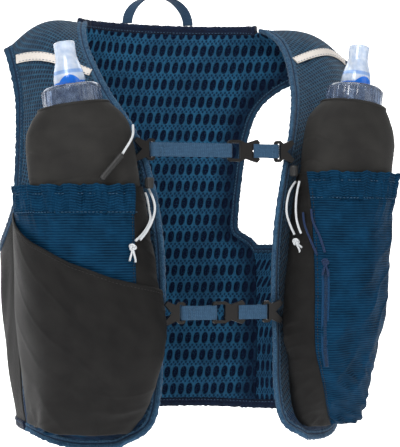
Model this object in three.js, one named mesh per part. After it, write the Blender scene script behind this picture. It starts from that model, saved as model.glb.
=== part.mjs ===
// A running hydration vest with two soft flasks in its chest pockets, as it sits on a wearer.
// Millimetres, +Z up. The wearer faces -Y, and +X is the right-hand side seen from the front.
// The origin lies midway between the two neck ends of the shoulder seams, at the height where the
// straps rest on the shoulders. Every panel is a thin wall on a smooth surface through a table of sections.
import * as THREE from "three";

// Driving sizes of the vest
const vestHeight = 380;
const halfWidth = 160;
const frontDepth = 104;
const backDepth = 98;
const panelThickness = 3;
const backThickness = 5;
const pocketCloth = 1.4;
const seamGap = 0.8;
const seatGap = 0.35;

// Where a reflective strip crosses its shoulder strap: the panel section at its inner and outer end
const leftStrip = { inner: 3.1, outer: 1.5 };
const rightStrip = { inner: 2.3, outer: 0.9 };

// Edge bindings, tapes and loops
const bindingWidth = 8;
const bindingGap = 0.75;
const bindingBulk = 1.6;
const bindingLip = 1.5;
const stripWidth = 9;
const stripThickness = 1.2;
const loopWidth = 10;
const loopThickness = 1.8;
const loopHalfSpan = 31;
const loopRise = 25;
const armholeDrop = 224;
const armholeFlare = 21;

// Chest straps and their clips
// Each strap's drop is a share of vestHeight, its buckle's place a share of the half gap between the front
// edges. Its left hook lies past the left edge, and its right hook starts before the right one.
const upperStrap = { drop: 0.3526, past: 12, buckle: 0.13, before: 12 };
const lowerStrap = { drop: 0.7158, past: 4.2, buckle: -0.18, before: 9.8 };
const webWidth = 12;
const webThickness = 1.3;
const clipHeight = 18.5;
const clipThickness = 4;
const clipBar = 2.4;

// Soft flasks
const flaskLength = 236;
const flaskWidth = 90;
const flaskDepth = 60;
const sleeveWall = 2;
const bladderWall = 1.2;
const sleeveShare = 0.79;
const capRadius = 25;
const capHeight = 17;
const capWall = 2.2;
const neckRadius = 17;
const valveBaseRadius = 13;
const valveTopRadius = 8.8;
const valveHeight = 37;
const valveWall = 2;
const camRadius = 10.4;
const camHeight = 8;
// At the upper chest strap the flask's inner side stands inset from a share of halfWidth, and its axis
// lies past frontDepth. Its foot stands over the hem.
const flaskSeat = { edgeShare: 0.4, inset: 12.2, past: 0.75, overHem: 99 };
const flaskLean = 8;
const flaskPitch = 3.6;
const flaskYaw = 14;
const leftFlaskRise = -3;
const rightFlaskRise = 4;

// Pockets round the flasks
const pocketRoom = 1.45;
const pocketTopDrop = 153;
const leftPocketDrop = 166;
const bandHeight = 23;
const gatherCount = 9;
const gatherDepth = 1.1;
const gussetSpread = 0.23;
const leftGussetShare = 0.185;
const rightGussetShare = 0.14;
const edgeInset = 0.1;
const stashRoom = 5;
const stashRoomEdge = 2.8;
const stashTopOuter = 192;
const stashTopInner = 248;

// Zip, cords and pulls
const zipOffset = 0.045;
const zipWidth = 7;
const zipThickness = 1.4;
const zipTop = 235;
const zipBottom = 318;
const cordDiameter = 2;
const knotRadius = 3.2;
const lockRadius = 3.6;
const lockLength = 9;
const pullRadius = 2.6;

const blue = { color: 0x17425f, roughness: 0.85, metalness: 0 };
const meshBlue = { color: 0x1b4a68, roughness: 0.9, metalness: 0 };
const charcoal = { color: 0x2f2d2c, roughness: 0.85, metalness: 0 };
const webBlue = { color: 0x35597a, roughness: 0.8, metalness: 0 };
const plastic = { color: 0x2a2523, roughness: 0.55, metalness: 0 };
const silver = { color: 0xc9c6c4, roughness: 0.5, metalness: 0 };
const navy = { color: 0x1a2a55, roughness: 0.8, metalness: 0 };
const clear = { color: 0xaab4c8, roughness: 0.2, metalness: 0 };
const valveBlue = { color: 0x1f7fe0, roughness: 0.35, metalness: 0 };
const frosted = { color: 0xb9d6f2, roughness: 0.35, metalness: 0 };

// Sections of a front panel from the shoulder seam to the hem. Sides are shares of halfWidth, fore of
// frontDepth (negative lies behind the middle plane), drop, rise and sag of vestHeight, crown of frontDepth.
const FRONT_ROWS = [
  { inner: 0.575, innerFore: -0.27, innerDrop: 0.03, outer: 0.988, outerFore: -0.04, outerDrop: 0.1, crown: 0.1, sag: 0 },
  { inner: 0.619, innerFore: -0.02, innerDrop: 0.055, outer: 0.994, outerFore: 0.077, outerDrop: 0.118, crown: 0.1, sag: 0 },
  { inner: 0.631, innerFore: 0.19, innerDrop: 0.105, outer: 0.98, outerFore: 0.18, outerDrop: 0.163, crown: 0.1, sag: 0 },
  { inner: 0.606, innerFore: 0.404, innerDrop: 0.168, outer: 0.962, outerFore: 0.23, outerDrop: 0.221, crown: 0.1, sag: 0 },
  { inner: 0.562, innerFore: 0.615, innerDrop: 0.232, outer: 0.96, outerFore: 0.24, outerDrop: 0.284, crown: 0.1, sag: 0 },
  { inner: 0.475, innerFore: 0.865, innerDrop: 0.316, outer: 0.962, outerFore: 0.22, outerDrop: 0.358, crown: 0.07, sag: 0 },
  { inner: 0.406, innerFore: 0.96, innerDrop: 0.408, outer: 0.966, outerFore: 0.19, outerDrop: 0.437, crown: 0.05, sag: 0 },
  { inner: 0.356, innerFore: 0.99, innerDrop: 0.526, outer: 0.97, outerFore: 0.15, outerDrop: 0.542, crown: 0.05, sag: 0 },
  { inner: 0.338, innerFore: 1, innerDrop: 0.658, outer: 0.97, outerFore: 0.12, outerDrop: 0.658, crown: 0.05, sag: 0 },
  { inner: 0.35, innerFore: 0.99, innerDrop: 0.779, outer: 0.965, outerFore: 0.12, outerDrop: 0.765, crown: 0.05, sag: 0 },
  { inner: 0.356, innerFore: 0.98, innerDrop: 0.885, outer: 0.955, outerFore: 0.12, outerDrop: 0.86, crown: 0.06, sag: 0 },
  { inner: 0.4, innerFore: 0.955, innerDrop: 0.962, outer: 0.945, outerFore: 0.13, outerDrop: 0.93, crown: 0.06, sag: 0.01 },
  { inner: 0.53, innerFore: 0.88, innerDrop: 1, outer: 0.93, outerFore: 0.15, outerDrop: 0.98, crown: 0.06, sag: 0.02 },
];

// Sections of the back panel from its top edge to its hem: the middle, a point halfway out and the edge.
// Sides are shares of halfWidth, deep of backDepth, drop of vestHeight. The first row's middle is the
// back of the neck, and its outer halves follow the shoulder seams.
const BACK_ROWS = [
  { deep: 0.857, drop: 0.021, half: 0.569, halfDeep: 0.29, halfDrop: 0.008, edge: 0.988, edgeDeep: 0.05, edgeDrop: 0.1 },
  { deep: 0.92, drop: 0.09, half: 0.575, halfDeep: 0.61, halfDrop: 0.064, edge: 0.86, edgeDeep: 0.35, edgeDrop: 0.121 },
  { deep: 0.955, drop: 0.158, half: 0.43, halfDeep: 0.79, halfDrop: 0.14, edge: 0.7, edgeDeep: 0.6, edgeDrop: 0.158 },
  { deep: 0.975, drop: 0.224, half: 0.312, halfDeep: 0.915, halfDrop: 0.218, edge: 0.6, edgeDeep: 0.79, edgeDrop: 0.211 },
  { deep: 0.99, drop: 0.303, half: 0.281, halfDeep: 0.965, halfDrop: 0.297, edge: 0.55, edgeDeep: 0.895, edgeDrop: 0.289 },
  { deep: 1, drop: 0.395, half: 0.269, halfDeep: 0.98, halfDrop: 0.39, edge: 0.522, edgeDeep: 0.93, edgeDrop: 0.382 },
  { deep: 1, drop: 0.487, half: 0.256, halfDeep: 0.985, halfDrop: 0.482, edge: 0.5, edgeDeep: 0.94, edgeDrop: 0.474 },
  { deep: 1, drop: 0.545, half: 0.262, halfDeep: 0.98, halfDrop: 0.542, edge: 0.506, edgeDeep: 0.94, edgeDrop: 0.539 },
  { deep: 0.99, drop: 0.6, half: 0.325, halfDeep: 0.96, halfDrop: 0.597, edge: 0.625, edgeDeep: 0.857, edgeDrop: 0.59 },
  { deep: 0.98, drop: 0.71, half: 0.331, halfDeep: 0.94, halfDrop: 0.71, edge: 0.638, edgeDeep: 0.82, edgeDrop: 0.705 },
  { deep: 0.97, drop: 0.84, half: 0.331, halfDeep: 0.93, halfDrop: 0.84, edge: 0.638, edgeDeep: 0.796, edgeDrop: 0.84 },
  { deep: 0.95, drop: 0.972, half: 0.325, halfDeep: 0.908, halfDrop: 0.974, edge: 0.625, edgeDeep: 0.776, edgeDrop: 0.98 },
];
const SIDE_CORNER_ROW = 8;
const sideCrown = 34;
const hemCrownShare = 0.65;

// The bottle pocket's section down its height: width and depth are shares of the flask's own width and
// depth, seat moves the section's centre from the flask's axis (0) to the panel's face (1).
const POCKET_ROWS = [
  { drop: 0.4, width: 1, depth: 1, seat: 0 },
  { drop: 0.52, width: 1, depth: 1, seat: 0 },
  { drop: 0.62, width: 1, depth: 1, seat: 0 },
  { drop: 0.7, width: 0.98, depth: 1, seat: 0 },
  { drop: 0.745, width: 0.95, depth: 0.96, seat: 0 },
  { drop: 0.8, width: 0.86, depth: 0.78, seat: 0 },
  { drop: 0.87, width: 0.78, depth: 0.56, seat: 0.15 },
  { drop: 0.93, width: 0.72, depth: 0.38, seat: 0.35 },
  { drop: 0.985, width: 0.62, depth: 0.24, seat: 0.6 },
];

// The flask's sleeve from its base to its open top: height as a share of the sleeve, width and depth as
// shares of the flask's.
const SLEEVE_ROWS = [
  { up: 0, width: 0.62, depth: 0.5 },
  { up: 0.03, width: 0.84, depth: 0.78 },
  { up: 0.1, width: 0.93, depth: 0.93 },
  { up: 0.3, width: 0.97, depth: 1 },
  { up: 0.6, width: 1, depth: 1 },
  { up: 0.84, width: 1, depth: 0.97 },
  { up: 0.91, width: 0.94, depth: 0.93 },
  { up: 0.96, width: 0.81, depth: 0.9 },
  { up: 1, width: 0.66, depth: 0.88 },
];

// Small helpers
const vec = (x, y, z) => new THREE.Vector3(x, y, z);
const mix = (a, b, t) => a + (b - a) * t;
const clamp01 = (t) => Math.min(1, Math.max(0, t));
const smooth = (t) => clamp01(t) ** 2 * (3 - 2 * clamp01(t));
const radians = THREE.MathUtils.degToRad;
const steps = (count, from = 0, to = 1) => Array.from({ length: count + 1 }, (_, i) => mix(from, to, i / count));

function catmull(a, b, c, d, t) {
  return 0.5 * (2 * b + (c - a) * t + (2 * a - 5 * b + 4 * c - d) * t * t + (3 * b - a - 3 * c + d) * t ** 3);
}

// A smooth value at place t (0 to 1) along a list, through every value.
function along(values, t) {
  const last = values.length - 1;
  const place = clamp01(t) * last;
  const i = Math.min(Math.floor(place), last - 1);
  const before = i > 0 ? values[i - 1] : 2 * values[0] - values[1];
  const after = i < last - 1 ? values[i + 2] : 2 * values[last] - values[last - 1];
  return catmull(before, values[i], values[i + 1], after, place - i);
}

const alongPoints = (points, t) =>
  vec(...["x", "y", "z"].map((axis) => along(points.map((p) => p[axis]), t)));

// Finds t in 0 to 1 where a falling height function reaches -drop.
function placeAtDrop(height, drop) {
  let [low, high] = [0, 1];
  for (let i = 0; i < 24; i++) {
    const middle = (low + high) / 2;
    if (height(middle) > -drop) low = middle;
    else high = middle;
  }
  return (low + high) / 2;
}

// A surface is a point function of (u, v) with an outward normal. facing turns the normal round. At
// kink, on either side of u 0, the surface's edge turns a corner, and no difference is taken across it.
function surfaceOf(point, facing = 1, kink = Infinity) {
  const step = 1e-3;
  const normal = (u, v) => {
    const side = u < 0 ? -1 : 1;
    const beyond = Math.abs(u) >= kink;
    const near = beyond ? Math.max(Math.abs(u) - step, kink) : Math.abs(u) - step;
    const far = beyond ? Math.abs(u) + step : Math.min(Math.abs(u) + step, kink);
    const across = point(side * far, v).sub(point(side * near, v)).multiplyScalar(side);
    const down = point(u, Math.min(v + step, 1)).sub(point(u, Math.max(v - step, 0)));
    return down.cross(across).normalize().multiplyScalar(facing);
  };
  return { point, normal };
}

const mirrorPoint = (p) => vec(-p.x, p.y, p.z);
const mirrored = (surface) => ({
  point: (u, v) => mirrorPoint(surface.point(u, v)),
  normal: (u, v) => mirrorPoint(surface.normal(u, v)),
});

// A closed geometry from corner points and triangles, turned the right way out.
function closedGeometry(points, triangles) {
  let volume = 0;
  for (const [a, b, c] of triangles)
    volume += points[a].dot(points[b].clone().cross(points[c]));
  const index = triangles.flatMap(([a, b, c]) => (volume < 0 ? [a, c, b] : [a, b, c]));
  return new THREE.BufferGeometry()
    .setAttribute("position", new THREE.Float32BufferAttribute(points.flatMap((p) => p.toArray()), 3))
    .setIndex(index);
}

const quad = (a, b, c, d) => [[a, b, c], [a, c, d]];

// A wall of cloth: the surface given thickness, lifted along its normal, and closed round its border.
function wallGeometry(surface, us, vs, thickness, lift = 0) {
  const points = [];
  const triangles = [];
  const at = (side, i, j) => (side * us.length + i) * vs.length + j;
  for (const side of [0, 1])
    for (const u of us)
      for (const v of vs) {
        const offset = lift + (side - 0.5) * thickness;
        points.push(surface.point(u, v).addScaledVector(surface.normal(u, v), offset));
      }
  const [lastI, lastJ] = [us.length - 1, vs.length - 1];
  for (let i = 0; i < lastI; i++)
    for (let j = 0; j < lastJ; j++) {
      triangles.push(...quad(at(0, i, j), at(0, i + 1, j), at(0, i + 1, j + 1), at(0, i, j + 1)));
      triangles.push(...quad(at(1, i, j), at(1, i, j + 1), at(1, i + 1, j + 1), at(1, i + 1, j)));
    }
  const border = [];
  for (let i = 0; i < lastI; i++) border.push([i, 0]);
  for (let j = 0; j < lastJ; j++) border.push([lastI, j]);
  for (let i = lastI; i > 0; i--) border.push([i, lastJ]);
  for (let j = lastJ; j > 0; j--) border.push([0, j]);
  border.forEach(([i, j], k) => {
    const [m, n] = border[(k + 1) % border.length];
    triangles.push(...quad(at(0, i, j), at(1, i, j), at(1, m, n), at(0, m, n)));
  });
  return closedGeometry(points, triangles);
}

// A bar swept along frames of { point, out, up }, with a section of [out, up] corners.
function sweepGeometry(frames, section, closed = false) {
  const points = frames.flatMap(({ point, out, up }) =>
    section.map(([a, b]) => point.clone().addScaledVector(out, a).addScaledVector(up, b)));
  const triangles = [];
  const size = section.length;
  const spans = closed ? frames.length : frames.length - 1;
  for (let i = 0; i < spans; i++)
    for (let k = 0; k < size; k++) {
      const [here, next] = [i * size, ((i + 1) % frames.length) * size];
      const after = (k + 1) % size;
      triangles.push(...quad(here + k, here + after, next + after, next + k));
    }
  if (!closed)
    for (let k = 1; k < size - 1; k++) {
      const end = (frames.length - 1) * size;
      triangles.push([0, k + 1, k], [end, end + k, end + k + 1]);
    }
  return closedGeometry(points, triangles);
}

// Frames just outside a panel's edge: path holds { point, normal } along the edge, side is +1 or -1.
function edgeFrames(path, side, offset, closed = false) {
  const count = path.length;
  return path.map(({ point, normal }, i) => {
    const before = path[closed ? (i + count - 1) % count : Math.max(i - 1, 0)].point;
    const after = path[closed ? (i + 1) % count : Math.min(i + 1, count - 1)].point;
    const out = after.clone().sub(before).cross(normal).normalize().multiplyScalar(side);
    return { point: point.clone().addScaledVector(out, offset), out, up: normal };
  });
}

function bindingSection(thickness) {
  const [half, flat] = [bindingWidth / 2, bindingWidth / 2 - bindingLip];
  const rise = thickness / 2;
  return [[-half, 0], [-flat, rise], [flat, rise], [half, 0], [flat, -rise], [-flat, -rise]];
}

const roundSection = (radius, sides) =>
  steps(sides).slice(0, sides).map((t) => [radius * Math.cos(2 * Math.PI * t), radius * Math.sin(2 * Math.PI * t)]);

const pathOn = (surface, places) =>
  places.map(([u, v]) => ({ point: surface.point(u, v), normal: surface.normal(u, v) }));

// The harness surfaces, on the +X side
function frontSectionPoint(row, u) {
  const inner = vec(row.inner * halfWidth, -row.innerFore * frontDepth, -row.innerDrop * vestHeight);
  const outer = vec(row.outer * halfWidth, -row.outerFore * frontDepth, -row.outerDrop * vestHeight);
  return { inner, outer, point: inner.clone().lerp(outer, u) };
}

function frontRowPoint(index, u) {
  const row = FRONT_ROWS[index];
  const { inner, outer, point } = frontSectionPoint(row, u);
  const above = frontSectionPoint(FRONT_ROWS[Math.max(index - 1, 0)], 0.5).point;
  const below = frontSectionPoint(FRONT_ROWS[Math.min(index + 1, FRONT_ROWS.length - 1)], 0.5).point;
  const bulge = below.sub(above).cross(outer.sub(inner)).normalize();
  const swell = Math.sin(Math.PI * clamp01(u));
  point.addScaledVector(bulge, row.crown * frontDepth * swell);
  point.z -= row.sag * vestHeight * swell;
  return point;
}

const shoulderSeam = (w) => frontRowPoint(0, w);

function backRowPoint(index, u) {
  const row = BACK_ROWS[index];
  const side = Math.sign(u) || 1;
  const reach = Math.abs(u);
  if (index === 0 && reach > 0.5) {
    const seam = shoulderSeam(2 * reach - 1);
    return vec(side * seam.x, seam.y, seam.z);
  }
  const middle = vec(0, row.deep * backDepth, -row.drop * vestHeight);
  if (index === 0) {
    const corner = shoulderSeam(0);
    const turn = Math.PI * reach;
    return vec(side * corner.x * Math.sin(turn), mix(corner.y, middle.y, Math.cos(turn)),
      mix(corner.z, middle.z, Math.cos(turn)));
  }
  const half = vec(row.half * halfWidth, row.halfDeep * backDepth, -row.halfDrop * vestHeight);
  const edge = vec(row.edge * halfWidth, row.edgeDeep * backDepth, -row.edgeDrop * vestHeight);
  return alongPoints([mirrorPoint(edge), mirrorPoint(half), middle, half, edge], (u + 1) / 2);
}

// A point at v (0 to 1) down a panel's sections, which goes smoothly through every section. The first
// span bends as if the section called before lay above it.
function downSections(count, section, before, v) {
  const place = clamp01(v) * (count - 1);
  const i = Math.min(Math.floor(place), count - 2);
  const [here, next] = [section(i), section(i + 1)];
  const above = i > 0 ? section(i - 1) : before();
  const below = i < count - 2 ? section(i + 2) : next.clone().multiplyScalar(2).sub(here);
  return vec(...["x", "y", "z"].map((k) => catmull(above[k], here[k], next[k], below[k], place - i)));
}

// The panels meet smoothly at the shoulder seam, because each borrows the other's next section there.
const frontSurface = surfaceOf((u, v) =>
  downSections(FRONT_ROWS.length, (i) => frontRowPoint(i, u), () => backRowPoint(1, 0.5 + clamp01(u) / 2), v));

const backSurface = surfaceOf((u, v) => {
  const reach = Math.min(Math.abs(u), 1);
  const section = (i) => backRowPoint(i, Math.sign(u) * reach);
  const before = () => {
    const straight = section(0).multiplyScalar(2).sub(section(1));
    const seam = frontRowPoint(1, clamp01(2 * reach - 1));
    seam.x *= Math.sign(u) || 1;
    return straight.lerp(seam, smooth((reach - 0.3) / 0.2));
  };
  return downSections(BACK_ROWS.length, section, before, v);
}, -1, 0.5);

const frontAtDrop = (u, drop) => placeAtDrop((v) => frontSurface.point(u, v).z, drop);
const sideTopBack = SIDE_CORNER_ROW / (BACK_ROWS.length - 1);
const sideTopFront = frontAtDrop(1, armholeDrop);

// The side panel runs from the front panel's outer edge (u 0) round to the back panel's edge (u 1). Its
// top edge is the foot of the armhole and flares up where it joins the front panel.
const sideSurface = surfaceOf((u, v) => {
  const flare = (armholeFlare / vestHeight) * (1 - clamp01(u)) ** 5 * (1 - v) * 2;
  const front = frontSurface.point(1, mix(sideTopFront, 1, v) - flare);
  const back = backSurface.point(1, mix(sideTopBack, 1, v));
  const chord = back.clone().sub(front);
  const outward = vec(chord.y, -chord.x, 0).normalize();
  return front.lerp(back, u).addScaledVector(outward, sideCrown * mix(1, hemCrownShare, v) * Math.sin(Math.PI * clamp01(u)));
});
const sideSpan = sideSurface.point(0, 0.5).distanceTo(sideSurface.point(1, 0.5));
const frontTrim = seamGap / 2 / frontSurface.point(0.5, 0).distanceTo(frontSurface.point(0.5, 0.1)) / 10;
const backTrim = seamGap / 2 / backSurface.point(0.75, 0).distanceTo(backSurface.point(0.75, 0.1)) / 10;

// The flask stands in its pocket on an axis that leans outwards and back
const lean = radians(flaskLean);
const pitch = radians(flaskPitch);
const axisSide = flaskSeat.edgeShare * halfWidth + flaskSeat.inset + flaskWidth / 2;
const axisGate = vec(axisSide, -frontDepth - flaskSeat.past, -upperStrap.drop * vestHeight);
const flaskAxis = vec(Math.sin(lean), Math.cos(lean) * Math.sin(pitch), Math.cos(lean) * Math.cos(pitch));
const axisAtHeight = (z) => axisGate.clone().addScaledVector(flaskAxis, (z - axisGate.z) / flaskAxis.z);
const flaskBase = axisAtHeight(flaskSeat.overHem - vestHeight);
const sleeveHeight = flaskLength * sleeveShare;

// The pocket's wall in plan goes from the panel's inner edge round the flask to its outer edge
function pocketSurface() {
  const wallLift = panelThickness / 2 + pocketCloth / 2 + seatGap;
  const lastDrop = POCKET_ROWS[POCKET_ROWS.length - 1].drop * vestHeight;
  const edgePoint = (u, drop) => {
    const v = frontAtDrop(u, drop);
    return frontSurface.point(u, v).addScaledVector(frontSurface.normal(u, v), wallLift);
  };
  return surfaceOf((w, t) => {
    const drop = mix(pocketTopDrop, lastDrop, t);
    const at = (key) => along(POCKET_ROWS.map((row) => row[key]), rowPlace(drop / vestHeight));
    const middle = edgePoint(0.5, drop);
    const axis = axisAtHeight(-drop);
    const halfWide = (flaskWidth / 2) * at("width") + pocketRoom + pocketCloth / 2;
    const halfDeep = (flaskDepth / 2) * at("depth") + pocketRoom + pocketCloth / 2;
    const facing = frontSurface.normal(0.5, frontAtDrop(0.5, drop));
    const seat = middle.addScaledVector(facing, halfDeep * 0.35);
    const centre = axis.lerp(seat, clamp01(at("seat")));
    const inner = edgePoint(edgeInset, drop);
    const outer = edgePoint(1 - edgeInset, drop);
    const start = Math.atan2(inner.y - centre.y, inner.x - centre.x);
    let finish = Math.atan2(outer.y - centre.y, outer.x - centre.x);
    while (finish < start) finish += 2 * Math.PI;
    const angle = mix(start, finish, w);
    const turned = angle - radians(flaskYaw);
    const ellipse = (halfWide * halfDeep) / Math.hypot(halfDeep * Math.cos(turned), halfWide * Math.sin(turned));
    const [innerReach, outerReach] = [inner, outer].map((p) => Math.hypot(p.x - centre.x, p.y - centre.y));
    const lead = mix(0.07, 0.45, smooth((drop / vestHeight - 0.72) / 0.2));
    const innerPull = (1 - smooth(w / lead)) ** 1.5;
    const outerPull = (1 - smooth((1 - w) / 0.34)) ** 1.2;
    const reach = 1 / (1 / ellipse + (1 / innerReach - 1 / ellipse) * innerPull + (1 / outerReach - 1 / ellipse) * outerPull);
    return vec(centre.x + reach * Math.cos(angle), centre.y + reach * Math.sin(angle), -drop);
  });
}

// Where a height share lies among POCKET_ROWS, as 0 to 1
function rowPlace(share) {
  const last = POCKET_ROWS.length - 1;
  for (let i = 0; i < last; i++)
    if (share <= POCKET_ROWS[i + 1].drop) {
      const span = POCKET_ROWS[i + 1].drop - POCKET_ROWS[i].drop;
      return (i + Math.max(0, (share - POCKET_ROWS[i].drop) / span)) / last;
    }
  return 1;
}

const pocketLastDrop = POCKET_ROWS[POCKET_ROWS.length - 1].drop * vestHeight;
const bottlePocket = pocketSurface();
const pocketPlace = (drop) => (drop - pocketTopDrop) / (pocketLastDrop - pocketTopDrop);
const bandShare = pocketPlace(pocketTopDrop + bandHeight);
const gussetShare = (top, t) => top + gussetSpread * t;
const pocketSeam = (2.2 * seamGap) / (Math.PI * flaskWidth * 0.6);
const pocketRise = seamGap / 2 / (pocketLastDrop - pocketTopDrop);

// A part of a wall between two places across it, each of which may change with the height
const partOf = (surface, from, to) => ({
  point: (s, t) => surface.point(mix(from(t), to(t), s), t),
  normal: (s, t) => surface.normal(mix(from(t), to(t), s), t),
});

// The elastic band at the pocket's mouth is the same wall with gathers in it
const bandSurface = (top) => surfaceOf((w, t) => {
  const base = bottlePocket.point(w, t);
  const wave = 0.5 - 0.5 * Math.cos(2 * Math.PI * gatherCount * w);
  const fade = smooth(1 - (t - top) / bandShare) * smooth(w / 0.1) * smooth((1 - w) / 0.1);
  return base.addScaledVector(bottlePocket.normal(w, t), gatherDepth * wave * fade);
});

// The stash pocket is a second wall over the first, roomiest at the front, with a slanting mouth
const stashPocket = surfaceOf((w, t) => {
  const mouth = mix(stashTopInner, stashTopOuter, clamp01(w) ** 1.35);
  const place = pocketPlace(mix(mouth, pocketLastDrop - pocketCloth * 3, t));
  const room = mix(stashRoomEdge, stashRoom, smooth(w / 0.5) * smooth((1 - w) / 0.35));
  return bottlePocket.point(w, place).addScaledVector(bottlePocket.normal(w, place), room);
});

// The webbing loop at the back of the neck, twisted so that its feet lie flat on the binding
function hangLoop() {
  const foot = neckFrames[Math.round(neckFrames.length / 2) - 1].point;
  const frames = steps(22).map((t) => {
    const angle = Math.PI * t;
    const twist = radians(62) * Math.cos(angle) * Math.abs(Math.cos(angle));
    const radial = vec(-Math.cos(angle), 0, Math.sin(angle));
    const point = vec(-loopHalfSpan * Math.cos(angle), foot.y, foot.z + bindingWidth / 2 + loopThickness
      + seatGap + loopRise * Math.sin(angle));
    const out = vec(0, 1, 0).multiplyScalar(Math.cos(twist)).addScaledVector(radial, Math.sin(twist));
    const up = radial.clone().multiplyScalar(Math.cos(twist)).addScaledVector(vec(0, 1, 0), -Math.sin(twist));
    return { point, out, up };
  });
  const [half, thick] = [loopWidth / 2, loopThickness / 2];
  return sweepGeometry(frames, [[-half, -thick], [half, -thick], [half, thick], [-half, thick]]);
}

// Edge bindings
const armholeEnd = sideTopFront - (2 * armholeFlare) / vestHeight;
const frontUs = steps(6);
const frontVs = [...steps(11, frontTrim, armholeEnd), ...steps(5, armholeEnd, 1).slice(1)];
const backVs = [...steps(10, backTrim, sideTopBack), ...steps(5, sideTopBack, 1).slice(1)];
const backUs = [...steps(3, -1, -0.5), ...steps(10, -0.5, 0.5).slice(1, -1), ...steps(3, 0.5, 1)];
const sideUs = steps(8, (1.4 * seamGap) / sideSpan, 1 - (2.2 * seamGap) / sideSpan);
const bindingOffset = bindingGap + bindingWidth / 2;
const neckReach = 0.41;

const neckUs = [-neckReach, ...steps(8, -0.4, 0.4), neckReach];
const neckPath = pathOn(backSurface, neckUs.map((u) => [u, 0]));
const neckFrames = edgeFrames(neckPath, 1, bindingOffset);
const frontBindingPath = [
  ...pathOn(frontSurface, frontVs.slice(0, -1).map((v) => [0, v])),
  ...pathOn(frontSurface, frontUs.map((u) => [u, 1])),
];
const frontBindingFrames = edgeFrames(frontBindingPath, 1, bindingOffset);
const armholePath = [
  ...pathOn(frontSurface, frontVs.slice(0, 12).map((v) => [1, v])),
  ...pathOn(sideSurface, sideUs.slice(1).map((u) => [u, 0])),
  ...pathOn(backSurface, backVs.slice(0, 11).reverse().map((v) => [1, v])),
];
const armholeFrames = edgeFrames(armholePath, -1, bindingOffset, true);
const rightHem = pathOn(sideSurface, sideUs.slice(1).map((u) => [u, 1]));
const leftHem = rightHem.map(({ point, normal }) => ({ point: mirrorPoint(point), normal: mirrorPoint(normal) }));
const backHem = pathOn(backSurface, backUs.slice(1, -1).reverse().map((u) => [u, 1]));
const hemFrames = edgeFrames([...rightHem, ...backHem, ...leftHem.reverse()], 1, bindingOffset);

const mirrorFrames = (frames) =>
  frames.map(({ point, out, up }) => ({ point: mirrorPoint(point), out: mirrorPoint(out), up: mirrorPoint(up) }));

// A flat strip laid over a shoulder strap
function shoulderStrip({ inner, outer }) {
  const lastRow = FRONT_ROWS.length - 1;
  const place = (u) => mix(inner, outer, u) / lastRow;
  const frames = steps(12, 0.04, 0.96).map((u) => {
    const [here, next] = [frontSurface.point(u, place(u)), frontSurface.point(u + 0.01, place(u + 0.01))];
    const up = frontSurface.normal(u, place(u));
    const out = next.sub(here).cross(up).normalize();
    const lift = panelThickness / 2 + stripThickness / 2 + 1.5 * seatGap;
    return { point: here.addScaledVector(up, lift), out, up };
  });
  const [half, thick] = [stripWidth / 2, stripThickness / 2];
  return sweepGeometry(frames, [[-half, -thick], [half, -thick], [half, thick], [-half, thick]]);
}

// Flask pieces, in the flask's own frame: origin at its base, +Z along its axis
function ovalRing(row, height, shrink, sides) {
  const [a, b] = [(flaskWidth / 2) * row.width - shrink, (flaskDepth / 2) * row.depth - shrink];
  return steps(sides).slice(0, sides).map((t) =>
    vec(a * Math.cos(2 * Math.PI * t), b * Math.sin(2 * Math.PI * t), height));
}

// A cup from rings: outer rings from the foot up, then inner rings down to the floor
function cupGeometry(rings, sides) {
  const points = rings.flat();
  const triangles = [];
  for (let r = 0; r < rings.length - 1; r++)
    for (let k = 0; k < sides; k++) {
      const next = (k + 1) % sides;
      triangles.push(...quad(r * sides + k, r * sides + next, (r + 1) * sides + next, (r + 1) * sides + k));
    }
  const last = (rings.length - 1) * sides;
  for (let k = 1; k < sides - 1; k++) triangles.push([0, k + 1, k], [last, last + k, last + k + 1]);
  return closedGeometry(points, triangles);
}

const sleeveSides = 20;
function sleeveGeometry() {
  const outer = SLEEVE_ROWS.map((row) => ovalRing(row, row.up * sleeveHeight, 0, sleeveSides));
  const inner = SLEEVE_ROWS.map((row) =>
    ovalRing(row, mix(sleeveWall, sleeveHeight, row.up), sleeveWall, sleeveSides)).reverse();
  return cupGeometry([...outer, ...inner], sleeveSides);
}

const bladderSides = 14;
const neckFoot = sleeveHeight + seatGap;
function bladderGeometry() {
  const skin = sleeveWall + seatGap + 0.6;
  const bodyRows = SLEEVE_ROWS.filter((_, i) => i % 2 === 0).slice(0, -1);
  const foot = sleeveWall + seatGap;
  const top = sleeveHeight - 6;
  const rings = (inset) => [
    ...bodyRows.map((row) => ovalRing(row, mix(foot + inset, top, row.up), skin + inset, bladderSides)),
    roundRing(neckRadius - inset, neckFoot - 1.5, bladderSides),
    roundRing(neckRadius - inset, neckFoot + capHeight - capWall - 2 * seatGap, bladderSides),
  ];
  return cupGeometry([...rings(0), ...rings(bladderWall).reverse()], bladderSides);
}

const roundRing = (radius, height, sides) =>
  steps(sides).slice(0, sides).map((t) =>
    vec(radius * Math.cos(2 * Math.PI * t), radius * Math.sin(2 * Math.PI * t), height));

// A body of revolution about +Z from [radius, height] corners that start and end on the axis
const turned = (corners, sides) =>
  new THREE.LatheGeometry(corners.map(([r, h]) => new THREE.Vector2(r, h)), sides).rotateX(Math.PI / 2);

// A ring of revolution whose section closes on itself
const turnedRing = (corners, sides) => turned([...corners, corners[0]], sides);

const capFoot = neckFoot;
const capTop = capFoot + capHeight;
const stemRadius = 4;
const stemBore = 2.4;
function capGeometry() {
  const inside = neckRadius + 2 * seatGap;
  return turnedRing([
    [inside, capFoot], [capRadius, capFoot], [capRadius, capTop - 3], [capRadius - 2.5, capTop],
    [stemRadius, capTop], [stemRadius, capTop + camHeight], [stemBore, capTop + camHeight],
    [stemBore, capTop - capWall], [inside, capTop - capWall],
  ], 22);
}

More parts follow.
